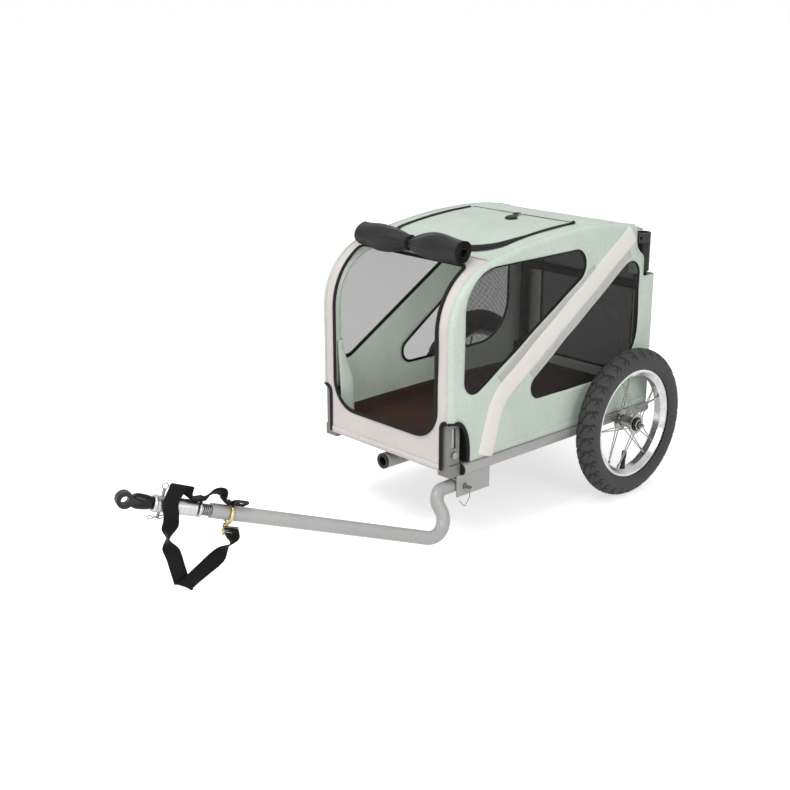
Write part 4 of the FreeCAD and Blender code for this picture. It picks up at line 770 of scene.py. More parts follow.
def rounded_loop(corners, step=4.0):
    """A closed loop through corners (u, v, round), each replaced by an arc that touches both sides."""
    points = np.array([corner[:2] for corner in corners], float)
    loop = []
    for i, (_, _, radius) in enumerate(corners):
        if radius <= 0:
            loop.append(points[i:i + 1])
        else:
            loop.append(corner_arc(points[i - 1], points[i], points[(i + 1) % len(points)], radius, step))
    return even(np.vstack(loop), step)


def both_sides(half):
    """Corners of a loop that is the same left and right, from those of one half in order."""
    mirrored = [(-u, v, radius) for u, v, radius in half[::-1]]
    return [mirrored[-1], *half, *mirrored[:-1]]


def even(loop, step):
    """A closed loop with extra points, so that no side is much longer than step."""
    after = np.roll(loop, -1, axis=0)
    counts = np.maximum(1, np.ceil(np.linalg.norm(after - loop, axis=1) / step)).astype(int)
    start_of = np.repeat(np.arange(len(loop)), counts)
    share = (np.arange(counts.sum()) - np.repeat(np.cumsum(counts) - counts, counts)) / counts[start_of]
    return loop[start_of] + (after - loop)[start_of] * share[:, None]


print("loops ready")

# %% [markdown]
# The field between the loops is triangulated once for each panel. A function then bends the flat points into
# place, and the flat size and area go with the piece, so that the cloth can be cut again.

# %% Cutting cloth
def inside(points, loop):
    """Which points lie inside a closed loop: an odd number of its sides cross the line to the right."""
    a, b = loop, np.roll(loop, -1, axis=0)
    u, v = points[:, :1], points[:, 1:]
    crossed = (a[:, 1] > v) != (b[:, 1] > v)
    slope = (b[:, 0] - a[:, 0]) / np.where(b[:, 1] == a[:, 1], 1e-9, b[:, 1] - a[:, 1])
    return ((crossed & (u < a[:, 0] + (v - a[:, 1]) * slope)).sum(axis=1) % 2) == 1


def gap_to(points, loop):
    """Distance of each point from a closed loop's points."""
    return np.sqrt(((points[:, None] - loop[None]) ** 2).sum(axis=-1).min(axis=1))


def cut_cloth(outer, holes=(), step=7.0, extra=None):
    """Flat points and triangles of a panel: its loops, a staggered field of inner points and extra points."""
    (low_u, low_v), (high_u, high_v) = outer.min(axis=0), outer.max(axis=0)
    rows = np.arange(low_v, high_v, step * 0.87)
    field_u = np.arange(low_u, high_u + step, step)[None] + (np.arange(len(rows)) % 2)[:, None] * step / 2
    field = np.stack(np.broadcast_arrays(field_u, rows[:, None]), axis=-1).reshape(-1, 2)
    loops = [outer, *holes]

    def free(points, room):
        clear = inside(points, outer) & (gap_to(points, outer) > room)
        for hole in holes:
            clear &= ~inside(points, hole) & (gap_to(points, hole) > min(room, step * 0.6))
        return points[clear]

    inner = [free(field, step * 0.6 if extra is None else EDGE_ROUND)]
    if extra is not None:
        inner.append(free(extra, 0.4))
    points = np.vstack([*loops, *inner])
    starts = np.cumsum([0] + [len(loop) for loop in loops])
    sides = [(int(a + i), int(a + (i + 1) % (b - a)))
             for a, b in zip(starts, starts[1:]) for i in range(b - a)]
    found = delaunay_2d_cdt([Vector(p) for p in points.tolist()], sides, [], 0, 1e-5)
    flat, corners = np.array([p[:] for p in found[0]]), np.array([list(f) for f in found[2]])
    middle = flat[corners].mean(axis=1)
    good = inside(middle, outer)
    for hole in holes:
        good &= ~inside(middle, hole)
    return flat, corners[good]


CABIN_MIDDLE = metres(0.0, 290.0, 330.0)


def panel(name, cut_piece, bend, body, slot, finish=None, thickness=1.2):
    """A cut panel bent into place by a function of its flat points, and dressed with a mesh of its own."""
    flat, corners = cut_piece
    item = mesh_piece(name, bend(flat[:, 0], flat[:, 1]), corners, flat * MM, CABIN_MIDDLE)
    dress(item, body, slot, finish, True, thickness)
    return item


print("cutting ready")

# %% [markdown]
# The white front is one panel that rises from its hem and bends back over the corner into the roof. The
# doorway is a hole with round lower corners, and the feet of the hoop stand in slits beside the hem. A bent
# plane cut by a Boolean would do too, but a flat cut keeps the cloth's true size and its threads straight.

# %% White front
HEM, SLIT_TOP, FOOT, SLIT_ROUND = 147.0, 240.0, 151.0, 12
FRONT_END = run_at(105.0)
DOOR_HALF, DOOR_SILL, DOOR_TOP, DOOR_ROUND = 138.0, 203.0, run_at(72.0), 55.0
front_outer = rounded_loop(both_sides([
    (FOOT, HEM, 5), (FOOT, SLIT_TOP, SLIT_ROUND), (SEAM_X, SLIT_TOP, 0), (SEAM_X, FRONT_END, 0)]), 5)
doorway = rounded_loop(both_sides([(DOOR_HALF, DOOR_SILL, DOOR_ROUND), (DOOR_HALF, DOOR_TOP, 12)]), 4)
front_cut = cut_cloth(front_outer, [doorway], 6)


def bend_front(x, run):
    """The front cloth on the outline, with slack that fades towards its sewn edges."""
    slack = ripple(x, run, 3, 1.3) * smooth((SEAM_X - np.abs(x)) / 14) * smooth((run - HEM) / 20)
    return on_front(x, run, slack - 0.6)


front_cloth = panel("front_cloth", front_cut, bend_front, "frame", "white_fabric")
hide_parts("front_panel")

# %% [markdown]
# The mint roof continues behind the white front. Its hatch is a separate panel that hinges on the seam at the
# crest, so it rides on the hatch's own body, and the roof has a hole of the same shape. A roof in one piece
# would look the same when shut, but could not open.

# %% Mint roof and hatch
HATCH_HALF, HATCH_FRONT, HATCH_REAR, HATCH_ROUND = 134.0, run_at(122.0), CREST_RUN, 60.0
NOTCH_X, NOTCH_RUN = 138.0, run_at(518.0)
roof_outer = rounded_loop(both_sides([
    (SEAM_X, FRONT_END, 0), (SEAM_X, NOTCH_RUN, 3), (NOTCH_X, NOTCH_RUN, 6), (NOTCH_X, ROOF_RUN, 3)]), 5)


def hatch_loop(grow):
    """The hatch seen flat, grown outward all round."""
    half = HATCH_HALF + grow
    return rounded_loop(both_sides([
        (half, HATCH_FRONT - grow, HATCH_ROUND), (half, HATCH_REAR + grow, 2)]), 4)


def bend_roof(x, run):
    """The roof cloth on the outline, with slack that fades towards its side seams."""
    slack = ripple(x, run, 5, 1.4) * smooth((SEAM_X - np.abs(x)) / 18)
    return on_front(x, run, slack - 0.6)


def bend_hatch(x, run):
    """The hatch, slightly crowned between its zips."""
    crown = smooth((HATCH_HALF - np.abs(x)) / 70) * smooth((run - HATCH_FRONT) / 70)
    crown = crown * smooth((HATCH_REAR - run) / 60)
    return on_front(x, run, 2.4 * crown + ripple(x, run, 8, 1.5) * crown - 0.5)


roof_cut = cut_cloth(roof_outer, [hatch_loop(0.6)], 7)
roof_cloth = panel("roof_cloth", roof_cut, bend_roof, "frame", "mint_fabric")
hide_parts("roof_panel")
hatch_cut = cut_cloth(hatch_loop(0), (), 6)
hatch_cloth = panel("hatch_cloth", hatch_cut, bend_hatch, "roof_hatch", "mint_fabric")
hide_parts("roof_hatch")

# %% [markdown]
# Each side is one mint panel with two windows cut out. It rolls over its edge to meet the front and the roof,
# so the cabin has soft corners. The right side is the left one turned over. A box with bevelled edges would
# be quicker, but has no slack and no turned hem.

# %% Mint sides
SIDES = {"left": 1, "right": -1}
SIDE_HEM, SLIT_DEPTH, ARCH_DEPTH, ARCH_RISE = 160.0, 45.0, 32, 60
FRONT_WINDOW = [(32.1, 263.0, 28.0), (32.1, 510.0, 80.0), (443.0, 510.5, 32.0)]
REAR_WINDOW = [(156.8, 239.9, 23.75), (529.0, 239.9, 90.0), (529.0, 491.0, 30.0)]
EAR_PLACE, NOTCH_LEVEL, NOTCH_PLACE = 513.0, 428.0, 541.0
NOTCH_BENDS = [(514.0, 503.0, 8), (518.0, 489.0, 8), (526.0, 480.0, 8), (537.0, 472.0, 6),
               (NOTCH_PLACE, 464.0, 6)]
ROUND_ROWS = np.array([0.7, 2.4, 5.0, 8.5])
roof_runs = np.linspace(SLIT_TOP, run_at(EAR_PLACE), 190)
side_edge = np.stack(outline(roof_runs), axis=-1)
arch_turn = np.linspace(0, np.pi / 2, 12)
side_arch = np.stack([SLIT_DEPTH - ARCH_DEPTH + ARCH_DEPTH * np.cos(arch_turn),
                      SLIT_TOP - ARCH_RISE + ARCH_RISE * np.sin(arch_turn)], axis=-1)
side_outer = even(np.vstack([
    [[SLIT_DEPTH, SIDE_HEM]], side_arch, side_edge, [bend[:2] for bend in NOTCH_BENDS],
    [[NOTCH_PLACE, NOTCH_LEVEL + 3], [NOTCH_PLACE + 3, NOTCH_LEVEL]],
    [[LENGTH, NOTCH_LEVEL], [LENGTH, SIDE_HEM]]]), 5)
near_edge = np.vstack([np.stack(outline(roof_runs, inset), axis=-1) for inset in ROUND_ROWS])
rear_rows = np.stack(np.meshgrid(LENGTH - ROUND_ROWS, np.arange(163, 426, 6.0)), axis=-1).reshape(-1, 2)
windows = [rounded_loop(corners, 4) for corners in (FRONT_WINDOW, REAR_WINDOW)]
side_cut = cut_cloth(side_outer, windows, 6, np.vstack([near_edge, rear_rows]))


def window_hem(y, z):
    """The turned-in hem round the windows: a ridge 0.9 mm high that ends 9 mm from their edge."""
    at = np.stack([y, z], axis=-1)
    gap = np.minimum(*[gap_to(at, loop) for loop in windows])
    return 0.9 * smooth((9 - gap) / 3)


def bend_side(side):
    """A function that stands the flat side panel up on its side of the cabin."""
    def bend(y, z):
        fade = smooth((edge_gap(y, z) - 8) / 25) * smooth((LENGTH - y) / 30)
        x = wall_x(y, z) - 0.6 + ripple(y, z, 11, 1.3) * fade + window_hem(y, z) * smooth(edge_gap(y, z) / 12)
        return metres(x * side, y, z)
    return bend


for name, side in SIDES.items():
    side_cloth = panel(f"{name}_side_cloth", side_cut, bend_side(side), "frame", "mint_fabric")
    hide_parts(f"{name}_side_panel")

# %% [markdown]
# The window mesh is sewn to the inside of the hem and sags a little between its edges. Black binding tape
# covers the raw edge inside, which is what one sees of the far windows. A picture of a mesh would need a
# file, so the knit is worked out in the material and the sheet only gives its flat coordinates.

# %% Windows and their bindings
BINDING_WIDTHS = {"front": 8.0, "rear": 5.0}


def bend_window(side, loop):
    """Mesh just inside the wall, sagging by 3 mm away from its edges, with a little slack."""
    def bend(y, z):
        gap = gap_to(np.stack([y, z], axis=-1), loop)
        x = wall_x(y, z) - 1.9 - 3.0 * smooth(gap / 60) + ripple(y, z, 21, 0.8) * smooth(gap / 40)
        return metres(x * side, y, z)
    return bend


def loop_path(loop, x, side):
    """A loop on the side wall as a path at a half width."""
    return metres(np.full(len(loop), x * side), loop[:, 0], loop[:, 1])


for name, side in SIDES.items():
    for (label, width), loop in zip(BINDING_WIDTHS.items(), windows):
        sheet = panel(f"{name}_{label}_window_mesh", cut_cloth(loop, (), 8), bend_window(side, loop), "frame",
                      "black_mesh", thickness=None)
        if label == "front":
            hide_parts(f"{name}_windows")
        binding = sweep(f"{name}_{label}_window_binding", loop_path(loop, HALF_WIDTH - 3.2, side),
                        np.array([-side, 0, 0]), flat_section(width, 1.0), closed=True)
        dress(binding, "frame", "black_fabric", crumples=True)
print("windows ready")

# %% [markdown]
# The rear is not seen in the photograph. It is drawn as a mint surround with a large dark mesh, which is what
# makes the inside of the cabin look dark through the doorway.

# %% Rear
REAR_MESH_HALF, REAR_MESH_LOW, REAR_MESH_HIGH, REAR_MESH_ROUND = 124, 205, 505, 34
rear_top = float(outline(ROOF_RUN)[1])
rear_outer = rounded_loop(both_sides([
    (SEAM_X, SIDE_HEM, 3), (SEAM_X, NOTCH_LEVEL, 3), (NOTCH_X, NOTCH_LEVEL, 5), (NOTCH_X, rear_top, 2)]), 5)
rear_window = rounded_loop(both_sides([
    (REAR_MESH_HALF, REAR_MESH_LOW, REAR_MESH_ROUND), (REAR_MESH_HALF, REAR_MESH_HIGH, REAR_MESH_ROUND)]), 5)


def bend_rear(x, z):
    """The rear cloth in its plane, with a little slack."""
    return metres(x, LENGTH - 0.6 + ripple(x, z, 31, 1.0) * smooth((SEAM_X - np.abs(x)) / 16), z)


def bend_rear_mesh(x, z):
    """The rear mesh just inside the surround, bowed in by 4 mm."""
    gap = gap_to(np.stack([x, z], axis=-1), rear_window)
    return metres(x, LENGTH - 2.4 - 4 * smooth(gap / 80), z)


rear_cloth = panel("rear_cloth", cut_cloth(rear_outer, [rear_window], 7), bend_rear, "frame", "mint_fabric")
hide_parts("rear_panel")
panel("rear_mesh", cut_cloth(rear_window, (), 9), bend_rear_mesh, "frame", "black_mesh", "dark_mesh", None)
rear_path = metres(rear_window[:, 0], np.full(len(rear_window), LENGTH), rear_window[:, 1])
rear_binding = sweep("rear_mesh_binding", rear_path, np.array([0, 1, 0]), flat_section(9.0, 1.0), closed=True)
dress(rear_binding, "frame", "black_fabric", crumples=True)

# %% [markdown]
# A white band runs up each side between the windows and bends at about a third of its height. It is a strip
# of even width on the wall. Grey tape fills the gaps between the band and the windows, so its free edge is
# measured from the windows' own loops instead of being drawn a second time.

# %% Diagonal bands
BAND = [(90.0, 161.0, 0), (125.0, 265.4, 80.0), (501.0, 519.2, 0)]
BAND_HALF, TAPE_CLEAR, TAPE_TUCK = 20.5, 1.0, 1
OVER_SPAN, OVER_WIDEST = (140, 400), 38.0
UNDER_SPAN, UNDER_WIDEST = (196, 478), 36.0


def open_path(corners, step=4.0):
    """A path through corners (u, v, round), with tangent arcs at the inner ones."""
    points = np.array([corner[:2] for corner in corners], float)
    line = [points[:1]]
    for i in range(1, len(corners) - 1):
        line.append(corner_arc(*points[i - 1:i + 2], corners[i][2]))
    line = np.vstack([*line, points[-1:]])
    run = run_along(line)
    at = np.linspace(0, run[-1], int(run[-1] / step))
    return np.stack([np.interp(at, run, line[:, i]) for i in range(2)], axis=-1)


def wall_strip(name, line, inner, outer, lift, side, finish):
    """A strip on the side wall between two distances from its line, following the wall's round."""
    heading = unit(np.gradient(line, axis=0))
    across = np.stack([-heading[:, 1], heading[:, 0]], axis=-1)
    share = np.linspace(0, 1, 13)
    columns = np.multiply.outer(np.broadcast_to(inner, len(line)), 1 - share) + np.multiply.outer(
        np.broadcast_to(outer, len(line)), share)
    flat = line[:, None] + across[:, None] * columns[..., None]
    y, z = flat[..., 0], flat[..., 1]
    crown = lift * np.clip(2.2 - np.abs(share - 0.5) * 4.4, 0, 1)
    x = wall_x(y, z) + crown[None] - 0.4 + ripple(y, z, 11, 1.3) * smooth((edge_gap(y, z) - 8) / 25)
    item = surface(name, metres(x * side, y, z), uv=flat * MM, outward=CABIN_MIDDLE)
    return dress(item, "frame", "white_fabric", finish, True, 0.8)


def band_stretch(low, high):
    """The points of the band's line between two places along the cabin."""
    return band_line[(band_line[:, 0] > low) & (band_line[:, 0] < high)]


band_line = open_path(BAND)
over_line, under_line = band_stretch(*OVER_SPAN), band_stretch(*UNDER_SPAN)
over_edge = np.minimum(gap_to(over_line, windows[0]) - TAPE_CLEAR, OVER_WIDEST)
over_edge = np.minimum.accumulate(over_edge)
under_edge = np.minimum(gap_to(under_line, windows[1]) - TAPE_CLEAR, UNDER_WIDEST)
tape_inner = BAND_HALF - TAPE_TUCK
for name, side in SIDES.items():
    band = wall_strip(f"{name}_band_cloth", band_line, -BAND_HALF, BAND_HALF, 1.6, side, "band_fabric")
    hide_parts(f"{name}_diagonal_band")
    wall_strip(f"{name}_band_tape_under", under_line, -under_edge, -tape_inner, 1.4, side, "grey_tape")
    wall_strip(f"{name}_band_tape_over", over_line, tape_inner, over_edge, 1.4, side, "grey_tape")

# %% [markdown]
# At the top rear corners the cloth stops short of the handle sockets. A small pocket closes the cabin there:
# a strip that follows the cut edge of the side, and a wall on the inner side of the socket. An open notch
# would show the inside of the cabin.

# %% Rear corner pockets
POCKET_X, POCKET_REAR, LINE_STEP = 137.4, 581.0, 0.003
pocket_line = open_path([(513.6, 521.0, 0), *NOTCH_BENDS, (NOTCH_PLACE, NOTCH_LEVEL + 2, 0)], 3)
pocket_roof = np.stack(outline(np.linspace(ROOF_RUN - 3, run_at(514.0), 16)), axis=-1) - [0, 2.0]
pocket_foot = [[NOTCH_PLACE, NOTCH_LEVEL + 1], [POCKET_REAR, NOTCH_LEVEL + 1]]
pocket_cut = cut_cloth(even(np.vstack([pocket_line, pocket_foot, pocket_roof]), 5), (), 8)
pocket_depth = np.linspace(POCKET_X, HALF_WIDTH - 1.6, 9)


def strip_uv(line, rows):
    """Flat coordinates of a strip: steps of 3 mm along its line, and the places of its rows across it."""
    along = np.arange(len(line))[:, None] * LINE_STEP
    return np.stack(np.broadcast_arrays(along, rows[None] * MM), axis=-1)


def bend_pocket(side):
    """A function that stands the flat pocket wall up on its side of the cabin."""
    def bend(y, z):
        return metres(np.full(len(y), POCKET_X * side), y, z)
    return bend


for name, side in SIDES.items():
    strip_grid = metres(pocket_depth[None] * side, pocket_line[:, :1], pocket_line[:, 1:])
    strip = surface(f"{name}_pocket_strip", strip_grid, uv=strip_uv(pocket_line, pocket_depth)[..., ::-1])
    dress(strip, "frame", "mint_fabric", crumples=True, thickness=0.8)
    panel(f"{name}_pocket_wall", pocket_cut, bend_pocket(side), "frame", "mint_fabric", thickness=0.8)

# %% [markdown]
# Edges tell cloth from card. The doorway and the slits have black binding, the panels meet in a fine piped
# seam, and the hems are turned up. All of these are sections carried along the edges drawn above, because
# an edge that is only coloured stays flat and catches no light.

# %% Bindings, seams and hems
def trim_on_front(name, flat_path, section, slot, closed=False, body="frame", finish=None, lift=0.4):
    """A trim lying on the front or roof along a flat path of (x, run)."""
    path = on_front(flat_path[:, 0], flat_path[:, 1], lift)
    up = on_front(flat_path[:, 0], flat_path[:, 1], lift + 1) - path
    item = sweep(name, path, up, section, closed)
    return dress(item, body, slot, finish, True)


trim_on_front("doorway_binding", doorway, flat_section(7.5, 1.8, -1.0), "black_fabric", True)
slit_section = flat_section(7, 1.8, -1.0)
slit_edge = open_path([(FOOT, HEM + 2, 0), (FOOT, SLIT_TOP, SLIT_ROUND), (SEAM_X, SLIT_TOP, 0)], 3)
round_the_corner = np.stack([np.linspace(EDGE_ROUND, 0.4, 9), np.full(9, SLIT_TOP)], axis=-1)
slit_y, slit_z = np.vstack([[[SLIT_DEPTH, SIDE_HEM + 1]], side_arch, round_the_corner]).T
slit_x = wall_x(slit_y, slit_z)
slim = 1 - 0.5 * smooth((EDGE_ROUND + 8 - slit_y[:, None]) / 12)
seam_run = np.linspace(SLIT_TOP + 2.5, NOTCH_RUN, 150)
hem_y = np.linspace(SLIT_DEPTH, LENGTH - EDGE_ROUND, 90)
for name, side in SIDES.items():
    trim_on_front(f"{name}_slit_binding", slit_edge * [side, 1], slit_section, "black_fabric")
    out = np.stack([(slit_x - SEAM_X) * side, np.minimum(slit_y - EDGE_ROUND, 0), 0 * slit_x], axis=-1)
    slit_path = metres(slit_x * side, slit_y, slit_z) + unit(out) * 0.5 * MM
    slit_across = unit(np.cross(np.gradient(slit_path, axis=0), out)) * slim
    edge = sweep(f"{name}_side_slit_binding", slit_path, out, slit_section, across=slit_across)
    dress(edge, "frame", "black_fabric", crumples=True)
    seam_path = np.c_[np.full(150, (SEAM_X - 0.4) * side), seam_run]
    trim_on_front(f"{name}_piped_seam", seam_path, round_section(1.1, 8), "mint_fabric", lift=-0.4)
    hem = sweep(f"{name}_side_hem", metres((HALF_WIDTH - 0.9) * side, hem_y, np.full(90, SIDE_HEM + 6)),
                np.array([side, 0, 0]), flat_section(12, 1.0))
    dress(hem, "frame", "mint_fabric", crumples=True)
hem_path = np.c_[np.linspace(-FOOT + 2, FOOT - 2, 60), np.full(60, HEM + 6)]
trim_on_front("front_hem", hem_path, flat_section(12, 0.9, -0.4), "white_fabric")
front_seam = np.c_[np.linspace(-SEAM_X, SEAM_X, 60), np.full(60, FRONT_END)]
trim_on_front("front_roof_seam", front_seam, flat_section(5, 0.9, -0.4), "white_fabric")
print("bindings ready")

# %% [markdown]
# The hatch opens with two zips that meet at its front. One half of the tape belongs to the roof and the
# other to the hatch, so the hatch can lift away cleanly, where one tape would stay behind. Its rear edge is
# sewn.

# %% Hatch zips
ZIP_GAP = 1.9


def zip_line(grow):
    """The three zipped sides of the hatch as an open path, from one rear corner round the front."""
    loop = hatch_loop(grow)
    line = loop[loop[:, 1] < HATCH_REAR + grow - 3]
    widest = int(np.argmax(steps_of(np.vstack([line, line[:1]]))))
    return np.roll(line, -widest - 1, axis=0)


tape_section = flat_section(3.4, 1.0, -0.2)
for label, grow, body in (("roof", ZIP_GAP, "frame"), ("hatch", -ZIP_GAP, "roof_hatch")):
    line = zip_line(grow)
    trim_on_front(f"{label}_zip_tape", line, tape_section, "black_fabric", body=body, lift=0.6)
    trim_on_front(f"{label}_zip_teeth", line, round_section(0.9, 6), "black_plastic", body=body, lift=1.6)
rear_edge = np.c_[np.linspace(-HATCH_HALF, HATCH_HALF, 50), np.full(50, HATCH_REAR + ZIP_GAP)]
trim_on_front("hatch_rear_seam", rear_edge, flat_section(1.5, 0.8, -0.2), "black_fabric", lift=0.5)
print("zips ready")

# %% [markdown]
# A black flap covers part of the zip. It is a tapered strip beside the zip's line, drawn in towards the
# middle of the hatch and slightly domed, so that its edge shows. Its width is a formula of the length along
# the zip, which is easier to change than a drawn outline.

# %% Zip flap
FLAP_FROM, FLAP_TO, FLAP_LEAST, FLAP_WIDTH = 90, 372, 1.5, 22.0
flap_line = zip_line(-1.0)[::-1]
flap_run = run_along(flap_line)
shown = (flap_run > FLAP_FROM) & (flap_run < FLAP_TO)
flap_line, flap_run = flap_line[shown], flap_run[shown]
flap_width = FLAP_LEAST + FLAP_WIDTH * smooth((flap_run - 110) / 130) * smooth((370 - flap_run) / 60)
inward = unit(np.array([0, HATCH_REAR - 120]) - flap_line)
flap_across = np.linspace(0, 1, 9)
flap_flat = flap_line[:, None] + inward[:, None] * (flap_width[:, None] * flap_across)[..., None]
flap_lift = 2.0 + 2.2 * np.sin(np.pi * flap_across)[None] * np.clip(flap_width / 23, 0, 1)[:, None]
flap_grid = on_front(flap_flat[..., 0], flap_flat[..., 1], flap_lift)
flap = surface("hatch_zip_flap", flap_grid, uv=flap_flat * MM, outward=CABIN_MIDDLE)
dress(flap, "roof_hatch", "black_fabric", crumples=True, thickness=0.8)

# %% [markdown]
# A zip slider waits at the near rear corner. Its body is a stack of rounded rectangles, which tapers as a
# bevelled cube would not, and its pull is a bent strip that hangs down from it.

# %% Zip slider
slider_spot = on_front(HATCH_HALF + 1.0, HATCH_REAR - 7.0, 3.0)
roof_up = unit(on_front(HATCH_HALF, HATCH_REAR - 7.0, 4.0) - on_front(HATCH_HALF, HATCH_REAR - 7.0, 3.0))
body_loop = rounded_frame(7, 11, 3) * MM
layers = [(-1.2, 0.86), (-0.8, 1.0), (0.9, 1.0), (1.6, 0.8)]
body_grid = np.stack([slider_spot + np.c_[body_loop * share, np.full(len(body_loop), level * MM)]
                      for level, share in layers])
body_ends = [body_grid[:1] * 0 + body_grid[end].mean(axis=0) for end in (0, -1)]
body_grid = np.concatenate([body_ends[0], body_grid, body_ends[1]])
dress(surface("zip_slider", body_grid, wrap_cols=True, closed=True), "frame", "zinc", "black_plastic", True)
tab_path = slider_spot + np.array([[0, 3, 1.8], [2, 0, 3.2], [4, -6, 2.6], [5, -13, 0.6]]) * MM
tab = sweep("zip_pull", spline_points(tab_path, 8), roof_up, flat_section(3.4, 1.2, -0.6))
dress(tab, "frame", "zinc", "black_plastic", True)
print("zip slider ready")

# %% [markdown]
# A round toggle on a short strap closes the hatch. The toggle is a turned button, and the strap is a ribbon
# along a spline over the cloth.

# %% Toggle
TOGGLE_X, TOGGLE_RUN = 24.0, run_at(313.0)
BUTTON = [(0, 9), (0.6, 11.6), (3.6, 12.4), (5.4, 10.6), (6.8, 7.2), (6.2, 3.6), (5.6, 1.1)]
toggle_up = on_front(TOGGLE_X, TOGGLE_RUN, 2.0) - on_front(TOGGLE_X, TOGGLE_RUN, 1.0)
toggle = lathe("hatch_toggle", on_front(TOGGLE_X, TOGGLE_RUN, 2.2), toggle_up, BUTTON)
dress(toggle, "roof_hatch", "black_plastic", crumples=True)
pull_route = [(TOGGLE_X, TOGGLE_RUN, 3.5), (16.0, run_at(330.0), 4.8), (2.0, run_at(350.0), 4.6),
              (-6.0, HATCH_REAR - 4, 3.4)]
pull_line = spline_points([on_front(*spot) for spot in pull_route], 10)
pull = sweep("toggle_strap", pull_line, toggle_up, flat_section(10.0, 1.2, -0.6))
dress(pull, "roof_hatch", "black_webbing", crumples=True)
print("toggle ready")

# %% [markdown]
# The front door is rolled up over the doorway and tied at its middle. A roll of cloth is a spiral sheet: its
# radius grows with the turn, is drawn in at the tie, and carries creases that run out from the tie. A
# cylinder would be simpler, but its ends would show no layers.

# %% Rolled door
ROLL_PLACE, ROLL_LEVEL, ROLL_HALF, ROLL_TURNS = 67.5, 534.0, 132.0, 3.6
ROLL_CORE, ROLL_GROWTH, ROLL_START, TIE_RADIUS = 6.5, 17.0, 0.6, 12.2


def rolled_door(turn_share, x):
    """Spiral: radius from 6 to 24 mm over the turns, with creases, times a waist at the tie."""
    turn = turn_share * ROLL_TURNS * 2 * np.pi
    waist = 1 - 0.52 * np.exp(-(np.abs(x) / 30) ** 1.5)
    near_tie = np.exp(-np.abs(x) / 48)
    crease = 2.3 * np.sin(7 * turn + 0.04 * x) * near_tie + 1.1 * np.sin(3 * turn - x / 24 + 1)
    crease = crease + 0.7 * np.sin(2 * turn + x / 13)
    puff = 1 + 0.07 * np.sin((np.abs(x) - 20) / 70 * np.pi)
    spiral = ROLL_CORE + ROLL_GROWTH * turn_share ** 0.8
    radius = (spiral + crease * (0.25 + 0.75 * turn_share)) * waist * puff
    sway = 1.5 * np.sin(x / 45) - 1.5 * np.exp(-(x / 40) ** 2)
    return metres(x + 3.0 + 1.5 * np.sin(turn), ROLL_PLACE + radius * np.cos(turn + ROLL_START),
                  ROLL_LEVEL + sway + radius * np.sin(turn + ROLL_START))


roll_rows, roll_columns = np.linspace(0, 1, 300), np.linspace(-ROLL_HALF, ROLL_HALF, 120)
turn_grid, x_grid = np.meshgrid(roll_rows, roll_columns, indexing="ij")
roll_uv = np.stack([x_grid * MM, turn_grid * 0.31], axis=-1)
door = surface("rolled_door", rolled_door(turn_grid, x_grid), uv=roll_uv)
dress(door, "frame", "black_fabric", "roll_fabric", crumples=True, thickness=1.1)
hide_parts("front_door_roll")
tie_turn = np.linspace(0, 2 * np.pi, 60, endpoint=False)
tie_path = metres(1.5 * np.sin(tie_turn), ROLL_PLACE + TIE_RADIUS * np.cos(tie_turn),
                  ROLL_LEVEL - 1.5 + TIE_RADIUS * np.sin(tie_turn))
tie = sweep("roll_tie", tie_path, np.array([1.0, 0, 0]), flat_section(1.6, 8.0, -4.0), closed=True)
dress(tie, "frame", "black_webbing", crumples=True)
print("door rolled")

# %% [markdown]
# The floor is a padded mat on the chassis. It is a closed cushion: rings that grow from the middle of its top
# to its rim and shrink again underneath, with sewn channels across. A cube with rounded edges could be
# sculpted to the same shape, but here the channels follow a formula.

# %% Floor mat
MAT_HALF, MAT_FRONT, MAT_REAR, MAT_LOW, MAT_THICK, MAT_ROUND = 136.5, 8.5, 571.5, 158.1, 9.8, 22
CHANNEL_STEP, CHANNEL_DEPTH = 94, 2.2
mat_loop = rounded_loop(both_sides([(MAT_HALF, MAT_FRONT, MAT_ROUND), (MAT_HALF, MAT_REAR, MAT_ROUND)]), 5)
mat_middle = np.array([0.0, (MAT_FRONT + MAT_REAR) / 2])


def floor_mat(share):
    """Cushion: rows from the top's middle out to the rim and back under; the rim bulges as a root."""
    reach = 1 - np.abs(1 - 2 * share)
    flat = mat_middle + (mat_loop - mat_middle)[None] * reach[:, None, None]
    bulge = np.sqrt(np.clip(1 - reach ** 14, 0, 1))[:, None]
    from_channel = (flat[..., 1] - MAT_FRONT) % CHANNEL_STEP - CHANNEL_STEP / 2
    channel = np.exp(-from_channel ** 2 / 14)
    above = MAT_LOW + MAT_THICK * (0.5 + 0.5 * bulge) - CHANNEL_DEPTH * channel * bulge
    below = MAT_LOW + MAT_THICK * 0.5 * (1 - bulge)
    return metres(flat[..., 0], flat[..., 1], np.where(share[:, None] < 0.5, above, below)), flat


mat_share = np.concatenate([
    np.linspace(0, 0.46, 60), np.linspace(0.465, 0.535, 20), np.linspace(0.54, 1, 30)])
mat_grid, mat_flat = floor_mat(mat_share)
mat = surface("floor_cushion", mat_grid, wrap_cols=True, uv=mat_flat * MM, closed=True)
dress(mat, "frame", "floor_fabric")
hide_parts("floor_mat")
print("mat ready")

# %% [markdown]
# Round the mat the floor cloth turns up the walls like a shallow tray. It is cut flat and lifted, like the
# panels, and its corners are cut away for the feet of the hoops.

# %% Floor tray
TRAY_HALF, TRAY_FRONT, TRAY_REAR, TRAY_LEVEL = 172.0, 5.0, 578.0, 168.6
tray_outer = rounded_loop(both_sides([
    (133, TRAY_FRONT, 4), (133, 46, 6), (TRAY_HALF, 50, 3),
    (TRAY_HALF, 546, 3), (136, 546, 4), (136, TRAY_REAR, 4)]), 6)


